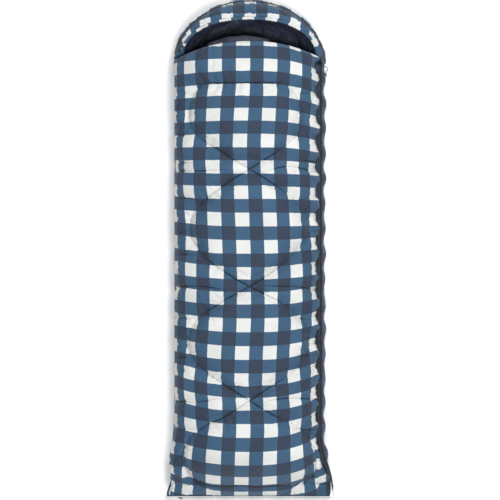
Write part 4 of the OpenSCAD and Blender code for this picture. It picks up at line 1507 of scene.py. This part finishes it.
def run_tree(name, tree, lines, values):
    """The plain mesh that a path tree makes along some lines of points."""
    path = bpy.data.meshes.new(name)
    verts, edges = [], []
    for line in lines:
        edges += [(len(verts) + k, len(verts) + k + 1) for k in range(len(line) - 1)]
        verts += [tuple(p) for p in line]
    path.from_pydata(verts, edges, [])
    holder = bpy.data.objects.new(name + "_path", path)
    bpy.context.scene.collection.objects.link(holder)
    modifier = holder.modifiers.new("along", "NODES")
    modifier.node_group = tree
    for item in tree.interface.items_tree:
        if item.in_out == "INPUT" and item.name in values:
            modifier[item.identifier] = values[item.name]
    graph = bpy.context.evaluated_depsgraph_get()
    mesh = bpy.data.meshes.new_from_object(holder.evaluated_get(graph))
    mesh.name = name
    holder.modifiers.remove(modifier)
    bpy.data.objects.remove(holder)
    piece = bpy.data.objects.new(name, mesh)
    bpy.context.scene.collection.objects.link(piece)
    mesh.shade_smooth()
    return piece


coil_nylon, nodes, links, shader = principled(
    "coil_nylon", Roughness=0.35, Specular_IOR_Level=0.5, Coat_Weight=0.1
)
tone = nodes.new("ShaderNodeTexNoise")
tone.inputs["Scale"].default_value = 90
place = nodes.new("ShaderNodeTexCoord")
links.new(place.outputs["Object"], tone.inputs["Vector"])
ramp = nodes.new("ShaderNodeValToRGB")
ramp.color_ramp.elements[0].color = (0.010, 0.012, 0.018, 1)
ramp.color_ramp.elements[1].color = (0.024, 0.028, 0.040, 1)
links.new(tone.outputs["Fac"], ramp.inputs["Fac"])
links.new(ramp.outputs["Color"], shader.inputs["Base Color"])
coil_tree = along_path("coil_turns", ("Turn radius", "Thread radius"), one_turn)
for coil_name, route, side, body, node in (
    ("zip_coil_cover", front_zip, -1, "cover", "zip_coil_front"),
    ("zip_coil_base", back_zip, 1, "bag", "zip_coil_back"),
):
    mid = route[:, 0] + side * (coil_gap + coil_w / 2) * route[:, 1]
    coil = run_tree(
        coil_name,
        coil_tree,
        [mid],
        {"Pitch": 0.0023, "Turn radius": 0.00098, "Thread radius": 0.00034, "Finish": coil_nylon},
    )
    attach(coil, body)
    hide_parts(node)
    core = tube_mesh(coil_name + "_core", mid[::2], 0.0006, 6)
    core.data.materials.append(bias_trim)
    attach(core, body)


# Stitching: grey-blue polyester lockstitch along the quilting seams, the zip edge, the
# neck edge and the foot of the cover, and along the hood's brim.
def one_stitch(nodes, links, enter):
    bead = nodes.new("GeometryNodeMeshUVSphere")
    bead.inputs["Segments"].default_value = 6
    bead.inputs["Rings"].default_value = 4
    bead.inputs["Radius"].default_value = 1
    size = nodes.new("ShaderNodeCombineXYZ")
    for axis, source in (("X", "Thread radius"), ("Y", "Thread radius"), ("Z", "Half length")):
        links.new(enter.outputs[source], size.inputs[axis])
    shape = nodes.new("GeometryNodeTransform")
    links.new(bead.outputs[0], shape.inputs["Geometry"])
    links.new(size.outputs[0], shape.inputs["Scale"])
    return shape.outputs[0]


thread, nodes, links, shader = principled(
    "grey_blue_thread", Roughness=0.45, Specular_IOR_Level=0.45, Sheen_Weight=0.2
)
twist = nodes.new("ShaderNodeTexWave")
twist.inputs["Scale"].default_value = 500
place = nodes.new("ShaderNodeTexCoord")
links.new(place.outputs["Object"], twist.inputs["Vector"])
ramp = nodes.new("ShaderNodeValToRGB")
ramp.color_ramp.elements[0].color = (0.10, 0.15, 0.21, 1)
ramp.color_ramp.elements[1].color = (0.20, 0.27, 0.34, 1)
links.new(twist.outputs["Fac"], ramp.inputs["Fac"])
links.new(ramp.outputs["Color"], shader.inputs["Base Color"])
stitch_tree = along_path("stitches", ("Thread radius", "Half length"), one_stitch)


def on_grid(grid, rows, cols, lift):
    """Points on a grid of points at fractional rows and columns."""
    r = np.clip(rows, 0, grid.shape[0] - 1.001)
    c = np.clip(cols, 0, grid.shape[1] - 1.001)
    ri, ci = r.astype(int), c.astype(int)
    rf, cf = (r - ri)[:, None], (c - ci)[:, None]
    raised = grid + outward(grid) * lift
    low = mix(raised[ri, ci], raised[ri, ci + 1], cf)
    return mix(low, mix(raised[ri + 1, ci], raised[ri + 1, ci + 1], cf), rf)


def cover_rows_at(y, edge_y):
    body = foot_rows + cover_rows - 1
    neck = (y - cover_top_y) / np.maximum(edge_y - cover_top_y, 1e-6) * neck_rows + body
    return np.where(y <= cover_top_y, np.interp(y, cover_y[: body + 1], np.arange(body + 1)), neck)


thread_lift = 0.0002
stitch_lines = []
even_col = np.arange(cover_cols)
for seam in cover_seams:
    seam_col = np.interp(-seam[:, 0], -cover_across[-1], even_col)
    seam_x = np.interp(seam_col, even_col, cover_outer[-1, :, 0])
    seam_row = cover_rows_at(seam[:, 1], neck_edge_y(seam_x))
    stitch_lines.append(on_grid(cover_full, seam_row, seam_col, thread_lift))
many = np.linspace(0.02, 0.995, 300)
all_rows, all_cols = len(cover_s) - 1, cover_cols - 1
for row in (all_rows - 1.0, 1.0):
    stitch_lines.append(
        on_grid(cover_full, many * 0 + row, many * all_cols, thread_lift)
    )
stitch_lines.append(
    on_grid(cover_full, many * all_rows, many * 0 + 0.9, thread_lift)
)
cover_stitches = run_tree(
    "cover_stitches",
    stitch_tree,
    stitch_lines,
    {"Pitch": thread_pitch, "Thread radius": 0.00028, "Half length": 0.0016, "Finish": thread},
)
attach(cover_stitches, "cover")
hood_row_n, hood_col_n = len(hood_turns) - 1, hood_cols - 1
many = np.linspace(0.06, 0.94, 300)
brim_line = on_grid(hood_full, many * hood_row_n, many * 0 + hood_col_n - 0.7, 0.0002)
hood_stitches = run_tree(
    "hood_stitches",
    stitch_tree,
    [brim_line],
    {"Pitch": 0.0046, "Thread radius": 0.00028, "Half length": 0.0016, "Finish": thread},
)
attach(hood_stitches, "bag")


# Metal parts: sliders, pull tabs, stops, eyelet and spring keep their made shape
# and get die-cast zinc with a dark plating, brighter in random patches.
def plated_metal(name, dark, bright, roughness):
    material, nodes, links, shader = principled(name, Metallic=1.0, Coat_Weight=0.05)
    place = nodes.new("ShaderNodeTexCoord")
    cloud = nodes.new("ShaderNodeTexNoise")
    cloud.inputs["Scale"].default_value = 420
    cloud.inputs["Detail"].default_value = 4
    links.new(place.outputs["Object"], cloud.inputs["Vector"])
    ramp = nodes.new("ShaderNodeValToRGB")
    ramp.color_ramp.elements[0].position = 0.35
    ramp.color_ramp.elements[0].color = dark + (1,)
    ramp.color_ramp.elements[1].position = 0.75
    ramp.color_ramp.elements[1].color = bright + (1,)
    links.new(cloud.outputs["Fac"], ramp.inputs["Fac"])
    links.new(ramp.outputs["Color"], shader.inputs["Base Color"])
    rough = nodes.new("ShaderNodeMapRange")
    rough.inputs["To Min"].default_value = roughness
    rough.inputs["To Max"].default_value = roughness + 0.2
    links.new(cloud.outputs["Fac"], rough.inputs["Value"])
    links.new(rough.outputs["Result"], shader.inputs["Roughness"])
    bump = nodes.new("ShaderNodeBump")
    bump.inputs["Strength"].default_value = 0.15
    bump.inputs["Distance"].default_value = 0.0002
    links.new(cloud.outputs["Fac"], bump.inputs["Height"])
    links.new(bump.outputs["Normal"], shader.inputs["Normal"])
    return material


def finish_node(node, material):
    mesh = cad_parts[node].data
    mesh.materials.clear()
    mesh.materials.append(material)


gunmetal = plated_metal("gunmetal", (0.020, 0.022, 0.026), (0.075, 0.080, 0.090), 0.3)
spring_wire = plated_metal("spring_wire", (0.42, 0.42, 0.44), (0.62, 0.62, 0.64), 0.22)
for node in (
    "zip_slider", "zip_pull_tab", "foot_zip_slider", "foot_zip_pull_tab",
    "zip_top_stop", "zip_bottom_stop", "drawcord_eyelet",
):  # fmt: skip
    finish_node(node, gunmetal)
finish_node("cord_lock_spring", spring_wire)

# Cord lock: a barrel and a sprung plunger of moulded black acetal.
lock_plastic, nodes, links, shader = principled(
    "black_acetal", Specular_IOR_Level=0.5, Coat_Weight=0.08
)
place = nodes.new("ShaderNodeTexCoord")
grain = nodes.new("ShaderNodeTexNoise")
grain.inputs["Scale"].default_value = 700
links.new(place.outputs["Object"], grain.inputs["Vector"])
ramp = nodes.new("ShaderNodeValToRGB")
ramp.color_ramp.elements[0].color = (0.010, 0.010, 0.011, 1)
ramp.color_ramp.elements[1].color = (0.022, 0.022, 0.024, 1)
links.new(grain.outputs["Fac"], ramp.inputs["Fac"])
links.new(ramp.outputs["Color"], shader.inputs["Base Color"])
rough = nodes.new("ShaderNodeMapRange")
rough.inputs["To Min"].default_value = 0.32
rough.inputs["To Max"].default_value = 0.5
links.new(grain.outputs["Fac"], rough.inputs["Value"])
links.new(rough.outputs["Result"], shader.inputs["Roughness"])
bump = nodes.new("ShaderNodeBump")
bump.inputs["Strength"].default_value = 0.2
bump.inputs["Distance"].default_value = 0.0002
links.new(grain.outputs["Fac"], bump.inputs["Height"])
links.new(bump.outputs["Normal"], shader.inputs["Normal"])
for node in ("cord_lock_barrel", "cord_lock_plunger"):
    finish_node(node, lock_plastic)

# Zip end tab: a folded scrap of bias tape sewn over the tape's top end, pointed
# where it is turned under.
tab_frame, _ = zip_route(0.8413, -0.320, 0.05)
tab_place, tab_across, tab_out = tab_frame[0]
tab_outline = np.array([(-2, 0), (-18.2, 0), (-19.2, 4), (-11, 8.4), (-4, 12)]) * 0.001
tab_rings = []
for level, shrink in ((-1.2, 0.88), (-1.0, 0.97), (-0.4, 1), (0.4, 1), (1.0, 0.97), (1.2, 0.88)):
    mid = tab_outline.mean(axis=0)
    shape = mid + (tab_outline - mid) * shrink
    shape = np.concatenate([mix(shape, np.roll(shape, -1, axis=0), f) for f in (0, 0.5)])
    shape = shape.reshape(2, 5, 2).transpose(1, 0, 2).reshape(-1, 2)
    tab_rings.append(
        tab_place
        - shape[:, :1] * tab_across
        + shape[:, 1:] * np.array((0, 1, 0))
        + 0.001 * level * tab_out
    )
zip_tab = closed_loft("zip_end_fold", tab_rings)
zip_tab.data.materials.append(bias_trim)
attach(zip_tab, "bag")
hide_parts("zip_end_tab")

# Care label: a blank satin tape label sewn to the lining by the fold.
label_low, label_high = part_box("care_label")
label_rows, label_cols = 13, 9
label_y = np.linspace(label_low[1], label_high[1], label_cols)
label_z = np.linspace(label_low[2], label_high[2], label_rows)
label_grid = np.zeros((label_rows, label_cols, 3))
label_grid[..., 1] = label_y[None, :]
label_grid[..., 2] = label_z[:, None]
bow = np.sin(np.linspace(0, math.pi, label_cols))[None, :] * np.linspace(1, 0, label_rows)[:, None]
label_grid[..., 0] = label_high[0] + 0.003 * bow
label_flat = label_grid[..., 1:]
care_label = shell_piece(
    "blank_label", label_grid[:, ::-1], label_grid[:, ::-1] - (0.0005, 0, 0), label_flat[:, ::-1]
)
label_satin, nodes, links, shader = principled(
    "label_satin", Roughness=0.4, Sheen_Weight=0.2, Specular_IOR_Level=0.5
)
uv = nodes.new("ShaderNodeUVMap")
uv.uv_map = "flat_fabric"
satin = nodes.new("ShaderNodeTexWave")
satin.inputs["Scale"].default_value = 500
links.new(uv.outputs["UV"], satin.inputs["Vector"])
ramp = nodes.new("ShaderNodeValToRGB")
ramp.color_ramp.elements[0].color = (0.62, 0.62, 0.60, 1)
ramp.color_ramp.elements[1].color = (0.76, 0.76, 0.74, 1)
links.new(satin.outputs["Fac"], ramp.inputs["Fac"])
links.new(ramp.outputs["Color"], shader.inputs["Base Color"])
bump = nodes.new("ShaderNodeBump")
bump.inputs["Strength"].default_value = 0.2
bump.inputs["Distance"].default_value = 0.0001
links.new(satin.outputs["Fac"], bump.inputs["Height"])
links.new(bump.outputs["Normal"], shader.inputs["Normal"])
care_label.data.materials.append(label_satin)
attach(care_label, "bag")
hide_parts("care_label")
